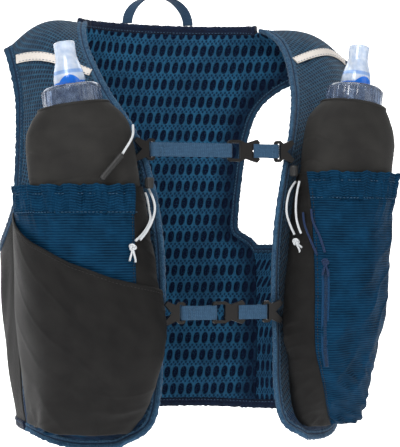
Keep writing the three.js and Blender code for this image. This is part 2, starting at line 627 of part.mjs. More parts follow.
// The coloured cam at the valve's foot: a ring whose top edge waves up at the front and the back
function camGeometry() {
  const sides = 24;
  const bore = stemRadius + seatGap;
  const foot = capTop + seatGap;
  const crest = (t) => foot + camHeight * (0.35 + 0.65 * (0.5 - 0.5 * Math.cos(4 * Math.PI * t)) ** 2);
  const ring = (radius, height) => steps(sides).slice(0, sides).map((t) =>
    vec(radius * Math.cos(2 * Math.PI * t), radius * Math.sin(2 * Math.PI * t), height(t)));
  const flat = () => foot;
  const rings = [ring(bore, flat), ring(camRadius, flat), ring(camRadius, crest), ring(bore, crest)];
  const points = rings.flat();
  const triangles = [];
  for (let r = 0; r < 4; r++)
    for (let k = 0; k < sides; k++) {
      const [here, next, after] = [r * sides, ((r + 1) % 4) * sides, (k + 1) % sides];
      triangles.push(...quad(here + k, here + after, next + after, next + k));
    }
  return closedGeometry(points, triangles);
}

// The mouthpiece turns on the cap to lock the valve; its skirt covers the cam
function mouthpieceGeometry() {
  const foot = capTop + seatGap;
  const skirt = camRadius + 2 * seatGap;
  const roof = capTop + camHeight + 2.2;
  return turnedRing([
    [skirt, foot], [valveBaseRadius, foot], [valveBaseRadius + 0.4, foot + 5], [valveBaseRadius - 1, foot + 13],
    [valveTopRadius + 1, foot + 20], [valveTopRadius, foot + 24], [valveTopRadius + 0.2, foot + valveHeight - 1],
    [valveTopRadius - 1, foot + valveHeight], [stemBore, foot + valveHeight], [stemBore, foot + valveHeight - valveWall],
    [valveTopRadius - valveWall, foot + valveHeight - valveWall], [valveTopRadius - valveWall, foot + 21],
    [stemBore, roof + valveWall], [stemBore, roof], [skirt, roof],
  ], 16);
}

// Chest-strap clips: a frame that the webbing wraps, a body, and a fish-tail fork that grips a loop
function clipGeometry(frameLength, bodyLength, forkLength) {
  const half = clipHeight / 2;
  const total = frameLength + bodyLength + forkLength;
  const neck = half * 0.72;
  const outline = new THREE.Shape();
  outline.moveTo(0, -half + 1.5);
  outline.lineTo(1.5, -half);
  outline.lineTo(frameLength, -half);
  outline.lineTo(frameLength + bodyLength * 0.6, -neck);
  outline.lineTo(total - 2.5, -half - 0.8);
  outline.lineTo(total, -half + 2.2);
  outline.lineTo(total - forkLength * 0.55, -2);
  outline.lineTo(total - forkLength * 0.8, 0);
  outline.lineTo(total - forkLength * 0.55, 2);
  outline.lineTo(total, half - 2.2);
  outline.lineTo(total - 2.5, half + 0.8);
  outline.lineTo(frameLength + bodyLength * 0.6, neck);
  outline.lineTo(frameLength, half);
  outline.lineTo(1.5, half);
  outline.lineTo(0, half - 1.5);
  outline.closePath();
  const slot = new THREE.Path();
  const [left, right, high] = [clipBar, frameLength, webWidth / 2 + 0.7];
  slot.moveTo(left, -high);
  slot.lineTo(left, high);
  slot.lineTo(right, high);
  slot.lineTo(right, -high);
  slot.closePath();
  outline.holes.push(slot);
  const made = new THREE.ExtrudeGeometry(outline, { depth: clipThickness, bevelEnabled: false });
  return made.translate(0, 0, -clipThickness / 2).rotateX(Math.PI / 2);
}

// Webbing that wraps the bar of one clip, runs across and wraps the bar of another. The bars lie at
// barA and barB along X; a wrap of zero leaves that end flat, running into a fork.
function webGeometry(barA, barB, tail, endFlat = false) {
  const reach = clipThickness / 2 + seatGap;
  const [inner, outer] = [reach, reach + webThickness];
  const left = barA - clipBar / 2 - seatGap;
  const right = barB + clipBar / 2 + seatGap;
  const outline = new THREE.Shape();
  const far = endFlat ? barB : right + webThickness;
  outline.moveTo(barA + tail, inner);
  outline.lineTo(left, inner);
  outline.lineTo(left, -inner);
  outline.lineTo(endFlat ? far : right, -inner);
  if (!endFlat) {
    outline.lineTo(right, inner);
    outline.lineTo(barB - tail, inner);
    outline.lineTo(barB - tail, outer);
    outline.lineTo(far - 0.5, outer);
    outline.lineTo(far, outer - 0.5);
    outline.lineTo(far, -outer + 0.5);
    outline.lineTo(far - 0.5, -outer);
  } else outline.lineTo(far, -outer);
  outline.lineTo(left - webThickness + 0.5, -outer);
  outline.lineTo(left - webThickness, -outer + 0.5);
  outline.lineTo(left - webThickness, outer - 0.5);
  outline.lineTo(left - webThickness + 0.5, outer);
  outline.lineTo(barA + tail, outer);
  outline.closePath();
  return new THREE.ExtrudeGeometry(outline, { depth: webWidth, bevelEnabled: false }).translate(0, 0, -webWidth / 2);
}

// A cord that follows a curve, as an extruded section
function cordGeometry(points, radius, sides, count) {
  const section = new THREE.Shape(roundSection(radius, sides).map(([x, y]) => new THREE.Vector2(x, y)));
  const route = new THREE.CatmullRomCurve3(points);
  return new THREE.ExtrudeGeometry(section, { steps: count, extrudePath: route, curveSegments: 1 });
}

// Routes of the cords in front of the pockets: across is the place round the wall, drop the height in mm,
// away the distance from rest on the cloth, in cord diameters.
const LEFT_CORD_A = [
  { across: 0.08, drop: 171, away: 0 }, { across: 0.1, drop: 177, away: 0 }, { across: 0.1, drop: 185, away: 0 },
  { across: 0.135, drop: 194, away: 0 }, { across: 0.2, drop: 204, away: 0 }, { across: 0.25, drop: 211, away: 0 },
];
const LEFT_CORD_B = [
  { across: 0.1, drop: 168, away: 1.2 }, { across: 0.12, drop: 176, away: 2.4 }, { across: 0.125, drop: 184, away: 2.6 },
  { across: 0.15, drop: 193, away: 1.8 }, { across: 0.195, drop: 203, away: 1.3 }, { across: 0.235, drop: 210, away: 1.2 },
];
const RIGHT_CORD_A = [
  { across: 0.08, drop: 160, away: 0 }, { across: 0.088, drop: 168, away: 2.6 }, { across: 0.092, drop: 178, away: 3.7 },
  { across: 0.095, drop: 188, away: 3.3 }, { across: 0.105, drop: 198, away: 1.6 }, { across: 0.122, drop: 206, away: 0.3 },
];
const RIGHT_CORD_B = [
  { across: 0.11, drop: 160, away: 0 }, { across: 0.112, drop: 169, away: 0.9 }, { across: 0.116, drop: 179, away: 1.3 },
  { across: 0.125, drop: 191, away: 1.1 }, { across: 0.14, drop: 200, away: 0.7 }, { across: 0.152, drop: 205, away: 0.4 },
];
const ZIP_CORD_A = [
  { across: 0.145, drop: 187, away: 0 }, { across: 0.16, drop: 198, away: 0 }, { across: 0.195, drop: 212, away: 0 },
  { across: 0.225, drop: 223, away: 0 },
];
const ZIP_CORD_B = [
  { across: 0.175, drop: 184, away: 0 }, { across: 0.19, drop: 195, away: 0 }, { across: 0.225, drop: 208, away: 0 },
  { across: 0.255, drop: 221, away: 0 },
];
const CORDS = [
  { name: "left_drawcord", sign: -1, routes: [LEFT_CORD_A, LEFT_CORD_B], knot: { across: 0.275, drop: 216 }, lock: { across: 0.125, drop: 163 } },
  { name: "right_drawcord", sign: 1, routes: [RIGHT_CORD_A, RIGHT_CORD_B], knot: { across: 0.14, drop: 212 }, lock: { across: 0.095, drop: 151 } },
  { name: "zip_cord", sign: 1, routes: [ZIP_CORD_A, ZIP_CORD_B], knot: { across: 0.262, drop: 229 } },
];

// The left zip pull hangs in front of the left flask: shares of halfWidth, frontDepth and vestHeight
const PULL_ROUTE = [
  { side: -0.492, fore: 1.125, drop: 0.302 },
  { side: -0.515, fore: 1.235, drop: 0.33 },
  { side: -0.583, fore: 1.335, drop: 0.368 },
  { side: -0.705, fore: 1.398, drop: 0.424 },
];

const restLift = pocketCloth / 2 + 3.2 * seatGap;
function onPocket(sign, { across, drop }, lift) {
  const t = clamp01(pocketPlace(drop));
  const point = bottlePocket.point(across, t).addScaledVector(bottlePocket.normal(across, t), lift);
  point.z = -drop;
  return sign < 0 ? mirrorPoint(point) : point;
}

// A knot is two turns of cord, as one lumpy bead
function knotGeometry(radius) {
  const profile = steps(8).map((t) => {
    const swell = 1 + 0.16 * Math.abs(Math.sin(3 * Math.PI * t));
    return [radius * Math.sin(Math.PI * t) ** 0.7 * swell, -radius * 1.7 * Math.cos(Math.PI * t)];
  });
  profile[0][0] = 0;
  profile[8][0] = 0;
  return turned(profile, 8);
}

// Builds the scene
const vest = new THREE.Group();
function addPiece(name, geometry, finish, parent = vest) {
  const mesh = new THREE.Mesh(geometry, new THREE.MeshStandardMaterial(finish));
  mesh.name = name;
  parent.add(mesh);
  return mesh;
}

const SIDES = [
  {
    name: "left", sign: -1, map: mirrored, frames: mirrorFrames, pocketTop: leftPocketDrop, flaskRise: leftFlaskRise,
    gusset: leftGussetShare, strip: leftStrip, sideFinish: charcoal,
  },
  {
    name: "right", sign: 1, map: (s) => s, frames: (f) => f, pocketTop: pocketTopDrop, flaskRise: rightFlaskRise,
    gusset: rightGussetShare, strip: rightStrip, sideFinish: meshBlue,
  },
];

function addHarness() {
  addPiece("back_panel", wallGeometry(backSurface, backUs, backVs, backThickness), meshBlue);
  const backSection = bindingSection(backThickness + bindingBulk);
  const frontSection = bindingSection(panelThickness + bindingBulk);
  addPiece("neck_binding", sweepGeometry(neckFrames, backSection), blue);
  addPiece("hem_binding", sweepGeometry(hemFrames, backSection), blue);
  addPiece("hang_loop", hangLoop(), blue);
  for (const { name, map, frames, sign, strip, sideFinish } of SIDES) {
    addPiece(`${name}_front_panel`, wallGeometry(map(frontSurface), frontUs, frontVs, panelThickness), meshBlue);
    addPiece(`${name}_side_panel`, wallGeometry(map(sideSurface), sideUs, steps(5), panelThickness), sideFinish);
    addPiece(`${name}_front_binding`, sweepGeometry(frames(frontBindingFrames), frontSection), blue);
    addPiece(`${name}_armhole_binding`, sweepGeometry(frames(armholeFrames), frontSection, true), blue);
    const tape = shoulderStrip(strip);
    addPiece(`${name}_reflective_strip`, sign < 0 ? flipped(tape) : tape, silver);
  }
}

// The mirror image of a geometry, with its faces turned out again
function flipped(geometry) {
  const points = [];
  const place = geometry.getAttribute("position");
  for (let i = 0; i < place.count; i++) points.push(vec(-place.getX(i), place.getY(i), place.getZ(i)));
  const triangles = [];
  const index = geometry.index ? geometry.index.array : steps(place.count - 1).map((_, i) => i);
  for (let i = 0; i < index.length; i += 3) triangles.push([index[i], index[i + 1], index[i + 2]]);
  return closedGeometry(points, triangles);
}

function addPockets() {
  for (const { name, map, pocketTop, gusset } of SIDES) {
    const top = pocketPlace(pocketTop);
    const band = top + bandShare;
    const inside = partOf(bottlePocket, () => pocketSeam, (t) => gussetShare(gusset, t) - pocketSeam);
    const [start, end] = [(t) => gussetShare(gusset, t) + pocketSeam, () => 1 - pocketSeam];
    const outside = partOf(bottlePocket, start, end);
    const mouth = partOf(bandSurface(top), start, end);
    const wall = (label, surface, across, down, finish) =>
      addPiece(`${name}_${label}`, wallGeometry(map(surface), steps(across), down, pocketCloth), finish);
    wall("pocket_gusset", inside, 7, steps(9, top, 1), charcoal);
    wall("bottle_pocket", outside, 12, steps(7, band + pocketRise, 1), blue);
    wall("pocket_band", mouth, 28, steps(2, top, band - pocketRise), blue);
  }
  const acrossStash = [...steps(7, 0.065, 0.27), ...steps(10, 0.27, 0.915).slice(1)];
  addPiece("stash_pocket", wallGeometry(mirrored(stashPocket), acrossStash, steps(7), pocketCloth), charcoal);
}

function addFlasks() {
  for (const { name, sign, flaskRise } of SIDES) {
    const flask = new THREE.Group();
    const foot = flaskBase.clone().addScaledVector(flaskAxis, flaskRise);
    flask.position.set(sign * foot.x, foot.y, foot.z);
    flask.rotation.set(-pitch, sign * lean, sign * radians(flaskYaw));
    addPiece(`${name}_flask_sleeve`, sleeveGeometry(), charcoal, flask);
    addPiece(`${name}_flask_bladder`, bladderGeometry(), clear, flask);
    addPiece(`${name}_flask_cap`, capGeometry(), clear, flask);
    addPiece(`${name}_valve_cam`, camGeometry(), valveBlue, flask);
    addPiece(`${name}_mouthpiece`, mouthpieceGeometry(), frosted, flask);
    vest.add(flask);
  }
}

const STRAPS = [{ name: "upper", ...upperStrap }, { name: "lower", ...lowerStrap }];
const hookFrame = 5;
const hookBody = 4.5;
const hookFork = 8.5;
const buckleFrame = 11;
const buckleBody = 9;
const buckleFork = 9;

function addStraps() {
  for (const strap of STRAPS) {
    const drop = strap.drop * vestHeight;
    const place = frontAtDrop(0, drop);
    const edge = frontSurface.point(0, place);
    const halfGap = edge.x - bindingWidth;
    const inward = frontSurface.point(0.05, place).sub(edge).normalize();
    const bindingFace = (panelThickness + bindingBulk) / 2;
    const level = edge.y - inward.y * (bindingOffset + bindingWidth / 2) - bindingFace - 5.5 * seatGap - clipThickness / 2;
    const row = new THREE.Group();
    row.position.set(0, level, -drop);
    const hookLength = hookFrame + hookBody + hookFork;
    const leftHook = addPiece(`${strap.name}_left_hook`, clipGeometry(hookFrame, hookBody, hookFork), plastic, row);
    leftHook.rotation.y = Math.PI;
    leftHook.position.x = hookLength - halfGap - strap.past;
    addPiece(`${strap.name}_buckle`, clipGeometry(buckleFrame, buckleBody, buckleFork), plastic, row)
      .position.x = strap.buckle * halfGap;
    addPiece(`${strap.name}_right_hook`, clipGeometry(hookFrame, hookBody, hookFork), plastic, row)
      .position.x = halfGap - strap.before;
    const barLeft = leftHook.position.x - clipBar / 2;
    const barBuckle = strap.buckle * halfGap + clipBar / 2;
    const barRight = halfGap - strap.before + clipBar / 2;
    const forkEnd = strap.buckle * halfGap + buckleFrame + buckleBody + buckleFork * 0.2;
    addPiece(`${strap.name}_webbing`, webGeometry(barLeft, barBuckle, 7), webBlue, row);
    const shortWeb = webGeometry(-barRight, -forkEnd, 6, true);
    addPiece(`${strap.name}_short_webbing`, flipped(shortWeb), webBlue, row);
    vest.add(row);
  }
}

function addTrim() {
  const zipWide = zipWidth / (Math.PI * flaskWidth * 0.7);
  const zipStart = (t) => gussetShare(rightGussetShare, t) + zipOffset - zipWide / 2;
  const zipWall = partOf(bottlePocket, zipStart, (t) => zipStart(t) + zipWide);
  addPiece("zip", wallGeometry(zipWall, steps(3), steps(9, pocketPlace(zipTop), pocketPlace(zipBottom)),
    zipThickness, restLift + zipThickness / 2), navy);
  for (const { name, sign, routes, knot, lock } of CORDS) {
    const finish = lock ? silver : navy;
    routes.forEach((rows, i) => {
      const route = rows.map((row) => onPocket(sign, row, restLift + cordDiameter * (row.away + 0.5)));
      addPiece(`${name}_${"ab"[i]}`, cordGeometry(route, cordDiameter / 2, 6, 10), finish);
    });
    const bead = addPiece(`${name}_knot`, knotGeometry(knotRadius), finish);
    bead.position.copy(onPocket(sign, knot, restLift + knotRadius * 1.5));
    bead.rotation.set(0, Math.PI / 2, 0);
    if (!lock) continue;
    const barrel = new THREE.CylinderGeometry(lockRadius, lockRadius, lockLength, 12).rotateX(Math.PI / 2);
    addPiece(`${name}_lock`, barrel, plastic)
      .position.copy(onPocket(sign, lock, restLift + gatherDepth + lockRadius));
  }
  const pull = PULL_ROUTE.map(({ side, fore, drop }) => vec(side * halfWidth, -fore * frontDepth, -drop * vestHeight));
  addPiece("zip_pull_cord", cordGeometry(pull.slice(0, 3), cordDiameter / 2, 6, 6), silver);
  const tubeFoot = pull[2].clone().lerp(pull[3], 0.04);
  addPiece("zip_pull_tube", cordGeometry([tubeFoot, pull[3]], pullRadius, 10, 1), plastic);
}

addHarness();
addPockets();
addFlasks();
addStraps();
addTrim();

export default vest;
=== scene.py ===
# A running hydration vest with two soft flasks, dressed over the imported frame.
# Lengths in the shape code are millimetres, as in the part; meshes are made in metres.
import math

import bpy
import numpy as np
from mathutils import Matrix, Vector


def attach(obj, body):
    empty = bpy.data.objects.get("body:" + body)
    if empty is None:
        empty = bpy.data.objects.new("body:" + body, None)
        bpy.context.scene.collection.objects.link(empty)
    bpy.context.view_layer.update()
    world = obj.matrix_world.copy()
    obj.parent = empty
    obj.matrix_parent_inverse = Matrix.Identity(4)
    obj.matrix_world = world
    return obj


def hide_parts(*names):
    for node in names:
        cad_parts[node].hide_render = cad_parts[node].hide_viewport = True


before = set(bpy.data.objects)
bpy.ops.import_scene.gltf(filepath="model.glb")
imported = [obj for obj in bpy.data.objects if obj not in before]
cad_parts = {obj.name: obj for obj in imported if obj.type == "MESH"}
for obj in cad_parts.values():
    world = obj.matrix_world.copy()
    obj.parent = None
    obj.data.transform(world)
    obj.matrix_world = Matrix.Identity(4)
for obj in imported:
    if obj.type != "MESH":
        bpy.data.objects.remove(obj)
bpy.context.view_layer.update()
MM = 0.001
BODY = "vest"

# Camera at the photograph's angle
cam = bpy.data.objects.new("camera", bpy.data.cameras.new("camera"))
bpy.context.scene.collection.objects.link(cam)
cam.data.sensor_width = 36
cam.data.lens = 112.75
cam.data.shift_x = 0.0403
cam.data.shift_y = 0.0145
cam.data.clip_start = 0.05
cam.data.clip_end = 20
cam.location = (-0.380, -1.243, -0.202)
cam.rotation_mode = "QUATERNION"
cam.rotation_quaternion = Vector((0.292, 0.956, 0)).to_track_quat("-Z", "Y")
bpy.context.scene.camera = cam

# Sizes of the vest, as in the part
HEIGHT, HALF_WIDTH, FRONT_DEPTH, BACK_DEPTH = 380.0, 160.0, 104.0, 98.0
PANEL, BACK_WALL, CLOTH = 3.0, 5.0, 1.4
SEAM_GAP, SEAT_GAP = 0.8, 0.35
BINDING_WIDTH, BINDING_GAP, BINDING_BULK = 8.0, 0.75, 1.6
ARMHOLE_DROP, ARMHOLE_FLARE = 224.0, 21.0
SIDE_CROWN, HEM_CROWN_SHARE = 34.0, 0.65
FLASK_LENGTH, FLASK_WIDTH, FLASK_DEPTH, SLEEVE_SHARE = 236.0, 90.0, 60.0, 0.79
CAP_RADIUS, CAP_HEIGHT, NECK_RADIUS = 25.0, 17.0, 17.0
VALVE_BASE, VALVE_TOP, VALVE_HEIGHT, VALVE_WALL = 13.0, 8.8, 37.0, 2.0
CAM_RADIUS, CAM_HEIGHT = 10.4, 8.0
SEAT = np.array([100.5, -114.0, -281.0])
LEAN, PITCH, YAW = math.radians(8), math.radians(3.6), math.radians(14)
POCKET_ROOM, POCKET_TOP, BAND_HEIGHT = 1.45, 153.0, 23.0
GATHER_DEPTH = 1.1
GUSSET_SPREAD, EDGE_INSET = 0.23, 0.1
STASH_ROOM, STASH_ROOM_EDGE = 5.0, 2.8
ZIP_OFFSET, ZIP_WIDTH, ZIP_TOP, ZIP_BOTTOM = 0.045, 7.0, 235.0, 318.0
CORD, CLIP_THICK, CLIP_BAR, WEB_WIDTH, WEB_THICK = 2.0, 4.0, 2.4, 12.0, 1.3
LOOP_WIDTH, LOOP_THICK, LOOP_SPAN, LOOP_RISE = 10.0, 1.8, 31.0, 25.0
STRIP_WIDTH, STRIP_THICK = 9.0, 1.2
NECK_REACH = 0.41
FRONT_SCALE = np.array([HALF_WIDTH, -FRONT_DEPTH, -HEIGHT])
BACK_SCALE = np.array([HALF_WIDTH, BACK_DEPTH, -HEIGHT])

# inner, inner fore, inner drop, outer, outer fore, outer drop, crown, sag
FRONT_ROWS = np.array([
    [0.575, -0.27, 0.03, 0.988, -0.04, 0.1, 0.1, 0],
    [0.619, -0.02, 0.055, 0.994, 0.077, 0.118, 0.1, 0],
    [0.631, 0.19, 0.105, 0.98, 0.18, 0.163, 0.1, 0],
    [0.606, 0.404, 0.168, 0.962, 0.23, 0.221, 0.1, 0],
    [0.562, 0.615, 0.232, 0.96, 0.24, 0.284, 0.1, 0],
    [0.475, 0.865, 0.316, 0.962, 0.22, 0.358, 0.07, 0],
    [0.406, 0.96, 0.408, 0.966, 0.19, 0.437, 0.05, 0],
    [0.356, 0.99, 0.526, 0.97, 0.15, 0.542, 0.05, 0],
    [0.338, 1, 0.658, 0.97, 0.12, 0.658, 0.05, 0],
    [0.35, 0.99, 0.779, 0.965, 0.12, 0.765, 0.05, 0],
    [0.356, 0.98, 0.885, 0.955, 0.12, 0.86, 0.06, 0],
    [0.4, 0.955, 0.962, 0.945, 0.13, 0.93, 0.06, 0.01],
    [0.53, 0.88, 1, 0.93, 0.15, 0.98, 0.06, 0.02],
])
# deep, drop, half, half deep, half drop, edge, edge deep, edge drop
BACK_ROWS = np.array([
    [0.857, 0.021, 0.569, 0.29, 0.008, 0.988, 0.05, 0.1],
    [0.92, 0.09, 0.575, 0.61, 0.064, 0.86, 0.35, 0.121],
    [0.955, 0.158, 0.43, 0.79, 0.14, 0.7, 0.6, 0.158],
    [0.975, 0.224, 0.312, 0.915, 0.218, 0.6, 0.79, 0.211],
    [0.99, 0.303, 0.281, 0.965, 0.297, 0.55, 0.895, 0.289],
    [1, 0.395, 0.269, 0.98, 0.39, 0.522, 0.93, 0.382],
    [1, 0.487, 0.256, 0.985, 0.482, 0.5, 0.94, 0.474],
    [1, 0.545, 0.262, 0.98, 0.542, 0.506, 0.94, 0.539],
    [0.99, 0.6, 0.325, 0.96, 0.597, 0.625, 0.857, 0.59],
    [0.98, 0.71, 0.331, 0.94, 0.71, 0.638, 0.82, 0.705],
    [0.97, 0.84, 0.331, 0.93, 0.84, 0.638, 0.796, 0.84],
    [0.95, 0.972, 0.325, 0.908, 0.974, 0.625, 0.776, 0.98],
])
# drop, width, depth, seat
POCKET_ROWS = np.array([
    [0.4, 1, 1, 0], [0.52, 1, 1, 0], [0.62, 1, 1, 0], [0.7, 0.98, 1, 0], [0.745, 0.95, 0.96, 0],
    [0.8, 0.86, 0.78, 0], [0.87, 0.78, 0.56, 0.15], [0.93, 0.72, 0.38, 0.35], [0.985, 0.62, 0.24, 0.6],
])
POCKET_LAST = 0.985 * HEIGHT
# up, width, depth
SLEEVE_ROWS = np.array([
    [0, 0.62, 0.5], [0.03, 0.84, 0.78], [0.1, 0.93, 0.93], [0.3, 0.97, 1], [0.6, 1, 1],
    [0.84, 1, 0.97], [0.91, 0.94, 0.93], [0.96, 0.81, 0.9], [1, 0.66, 0.88],
])


# Small helpers
def mix(a, b, t):
    return a + (b - a) * t


def clip01(t):
    return np.clip(t, 0.0, 1.0)


def smooth(t):
    t = clip01(t)
    return t * t * (3 - 2 * t)


def ends(t, lead, tail=None):
    """Rises from 0 over lead at the start of t from 0 to 1, and falls back to 0 over tail at its end."""
    return smooth(t / lead) * smooth((1 - t) / (tail or lead))


def unit(v):
    return v / np.maximum(np.linalg.norm(v, axis=-1, keepdims=True), 1e-12)


def square_to(a, b):
    """The unit vector at right angles to both."""
    return unit(np.cross(a, b))


def together(*values):
    return np.broadcast_arrays(*(np.asarray(value, float) for value in values))


def turns(sides):
    """Angles at even steps of one full turn."""
    return np.linspace(0, 2 * np.pi, sides, endpoint=False)


def sample(table, at, places):
    """The rows of a table at other places, from the places at which its rows stand."""
    return np.stack([np.interp(places, at, column) for column in table.T], -1)


def tangents(points, closed=False):
    if closed:
        return unit(np.roll(points, -1, 0) - np.roll(points, 1, 0))
    return unit(np.gradient(points, axis=0))


def catmull(a, b, c, d, t):
    return 0.5 * (2 * b + (c - a) * t + (2 * a - 5 * b + 4 * c - d) * t * t + (3 * b - a - 3 * c + d) * t**3)


def pick(rows, place):
    """A smooth value at each place along rows, whose first and last entries only guide the bend."""
    spans = len(rows) - 3
    i = np.clip(np.floor(place).astype(int), 0, spans - 1)
    at = lambda k: np.take_along_axis(rows, (i + k)[None, ..., None], axis=0)[0]
    return catmull(at(0), at(1), at(2), at(3), (place - i)[..., None])


def along(values, t):
    """values (M, D) at t from 0 to 1, through every value."""
    values = np.asarray(values, float)
    rows = np.concatenate([2 * values[:1] - values[1:2], values, 2 * values[-1:] - values[-2:-1]])
    t = np.asarray(t, float)
    shape = (len(rows),) + (1,) * t.ndim + (values.shape[1],)
    whole = (len(rows),) + t.shape + (values.shape[1],)
    return pick(np.broadcast_to(rows.reshape(shape), whole), clip01(t) * (len(values) - 1))


def mirror(p):
    return p * np.array([-1.0, 1.0, 1.0])


# The harness surfaces, on the +X side
def front_ends(k):
    return FRONT_ROWS[k, :3] * FRONT_SCALE, FRONT_ROWS[k, 3:6] * FRONT_SCALE


def front_row(k, u):
    inner, outer = front_ends(k)
    above = sum(front_ends(max(k - 1, 0))) / 2
    below = sum(front_ends(min(k + 1, len(FRONT_ROWS) - 1))) / 2
    bulge = square_to(below - above, outer - inner)
    swell = np.sin(np.pi * clip01(u))
    point = inner + (outer - inner) * u[..., None] + bulge * (FRONT_ROWS[k, 6] * FRONT_DEPTH) * swell[..., None]
    point[..., 2] -= FRONT_ROWS[k, 7] * HEIGHT * swell
    return point


def back_row(k, u):
    side = np.where(u < 0, -1.0, 1.0)
    reach = np.abs(u)
    deep, drop = BACK_ROWS[k, :2]
    middle = np.array([0, deep, drop]) * BACK_SCALE
    if k == 0:
        seam = front_row(0, clip01(2 * reach - 1))
        corner = front_row(0, np.zeros(1))[0]
        turn = np.pi * reach
        arc_part = np.stack([corner[0] * np.sin(turn), mix(corner[1], middle[1], np.cos(turn)),
                             mix(corner[2], middle[2], np.cos(turn))], -1)
        point = np.where((reach > 0.5)[..., None], seam, arc_part)
        point[..., 0] *= side
        return point
    half, edge = BACK_ROWS[k, 2:5] * BACK_SCALE, BACK_ROWS[k, 5:] * BACK_SCALE
    return along([mirror(edge), mirror(half), middle, half, edge], (u + 1) / 2)


def down(rows, before, v):
    rows = np.concatenate([before[None], rows, (2 * rows[-1] - rows[-2])[None]])
    return pick(rows, clip01(v) * (len(rows) - 3))


def front_surface(u, v):
    u, v = together(u, v)
    rows = np.stack([front_row(k, u) for k in range(len(FRONT_ROWS))])
    return down(rows, back_row(1, 0.5 + clip01(u) / 2), v)


def back_surface(u, v):
    u, v = together(u, v)
    u = np.clip(u, -1, 1)
    reach = np.abs(u)
    rows = np.stack([back_row(k, u) for k in range(len(BACK_ROWS))])
    seam = front_row(1, clip01(2 * reach - 1))
    seam[..., 0] *= np.where(u < 0, -1, 1)
    before = mix(2 * rows[0] - rows[1], seam, smooth((reach - 0.3) / 0.2)[..., None])
    return down(rows, before, v)


def normal_of(surface, u, v, facing=1, step=1e-3):
    across = surface(u + step, v) - surface(u - step, v)
    fall = surface(u, np.minimum(v + step, 1)) - surface(u, np.maximum(v - step, 0))
    return square_to(fall, across) * facing


PLACES = np.linspace(0, 1, 700)


def at_drop(u, drop):
    heights = front_surface(np.full_like(PLACES, u), PLACES)[:, 2]
    return np.interp(drop, -heights, PLACES)


SIDE_TOP_BACK = 8 / 11
SIDE_TOP_FRONT = float(at_drop(1.0, ARMHOLE_DROP))


def side_surface(u, v):
    u, v = together(u, v)
    flare = (ARMHOLE_FLARE / HEIGHT) * (1 - clip01(u)) ** 5 * (1 - v) * 2
    front = front_surface(np.ones_like(u), mix(SIDE_TOP_FRONT, 1, v) - flare)
    back = back_surface(np.ones_like(u), mix(SIDE_TOP_BACK, 1, v))
    chord = back - front
    outward = unit(np.stack([chord[..., 1], -chord[..., 0], 0 * chord[..., 0]], -1))
    swell = SIDE_CROWN * mix(1, HEM_CROWN_SHARE, v) * np.sin(np.pi * clip01(u))
    return mix(front, back, u[..., None]) + outward * swell[..., None]


# The pocket's wall round the flask
FLASK_AXIS = np.array([math.sin(LEAN), math.cos(LEAN) * math.sin(PITCH), math.cos(LEAN) * math.cos(PITCH)])
DROPS = np.linspace(100, HEIGHT - 1, 500)


def edge_table(u):
    v = at_drop(u, DROPS)
    points = front_surface(np.full_like(v, u), v)
    return points, normal_of(front_surface, np.full_like(v, u), v)


EDGES = {u: edge_table(u) for u in (EDGE_INSET, 0.5, 1 - EDGE_INSET)}


def pocket(w, drop):
    w, drop = together(w, drop)
    share = np.interp(drop / HEIGHT, POCKET_ROWS[:, 0], np.linspace(0, 1, len(POCKET_ROWS)))
    width, depth, seat_share = np.moveaxis(along(POCKET_ROWS[:, 1:], share), -1, 0)
    wall_lift = PANEL / 2 + CLOTH / 2 + SEAT_GAP
    edge = {u: sample(p, DROPS, drop) + sample(n, DROPS, drop) * wall_lift for u, (p, n) in EDGES.items()}
    axis = SEAT + FLASK_AXIS * ((-drop - SEAT[2]) / FLASK_AXIS[2])[..., None]
    half_wide = FLASK_WIDTH / 2 * width + POCKET_ROOM + CLOTH / 2
    half_deep = FLASK_DEPTH / 2 * depth + POCKET_ROOM + CLOTH / 2
    facing = unit(sample(EDGES[0.5][1], DROPS, drop))
    seat = edge[0.5] + facing * (half_deep * 0.35)[..., None]
    centre = mix(axis, seat, clip01(seat_share)[..., None])
    ways = [edge[u] - centre for u in (EDGE_INSET, 1 - EDGE_INSET)]
    start, finish = (np.arctan2(way[..., 1], way[..., 0]) for way in ways)
    finish = np.where(finish < start, finish + 2 * np.pi, finish)
    angle = mix(start, finish, w)
    turned = angle - YAW
    ellipse = half_wide * half_deep / np.hypot(half_deep * np.cos(turned), half_wide * np.sin(turned))
    inner_reach, outer_reach = (np.hypot(way[..., 0], way[..., 1]) for way in ways)
    lead = mix(0.07, 0.45, smooth((drop / HEIGHT - 0.72) / 0.2))
    inner_pull = (1 - smooth(w / lead)) ** 1.5
    outer_pull = (1 - smooth((1 - w) / 0.34)) ** 1.2
    reach = 1 / (1 / ellipse + (1 / inner_reach - 1 / ellipse) * inner_pull
                 + (1 / outer_reach - 1 / ellipse) * outer_pull)
    return np.stack([centre[..., 0] + reach * np.cos(angle), centre[..., 1] + reach * np.sin(angle), -drop], -1)


def pocket_normal(w, drop):
    w, drop = together(w, drop)
    across = pocket(w + 1e-3, drop) - pocket(w - 1e-3, drop)
    fall = pocket(w, np.minimum(drop + 0.25, POCKET_LAST)) - pocket(w, drop - 0.25)
    return square_to(fall, across)


def gusset_share(top, drop):
    return top + GUSSET_SPREAD * (drop - POCKET_TOP) / (POCKET_LAST - POCKET_TOP)


# Waves that stand for folds in cloth
def folds(x, y, seed, wave, lean=0.0, spread=0.5, count=6):
    """A sum of waves, about wave long, whose crests run near the direction lean from the y axis."""
    rng = np.random.default_rng(seed)
    total = 0
    for _ in range(count):
        turn = lean + rng.uniform(-spread, spread)
        length = wave * rng.uniform(0.65, 1.5)
        phase = rng.uniform(0, 2 * np.pi)
        bend = 0.9 * np.sin(2 * np.pi * y / (wave * 3.1) + phase * 2)
        total = total + np.sin(2 * np.pi * (x * math.cos(turn) + y * math.sin(turn)) / length + phase + bend)
    return total / math.sqrt(count)


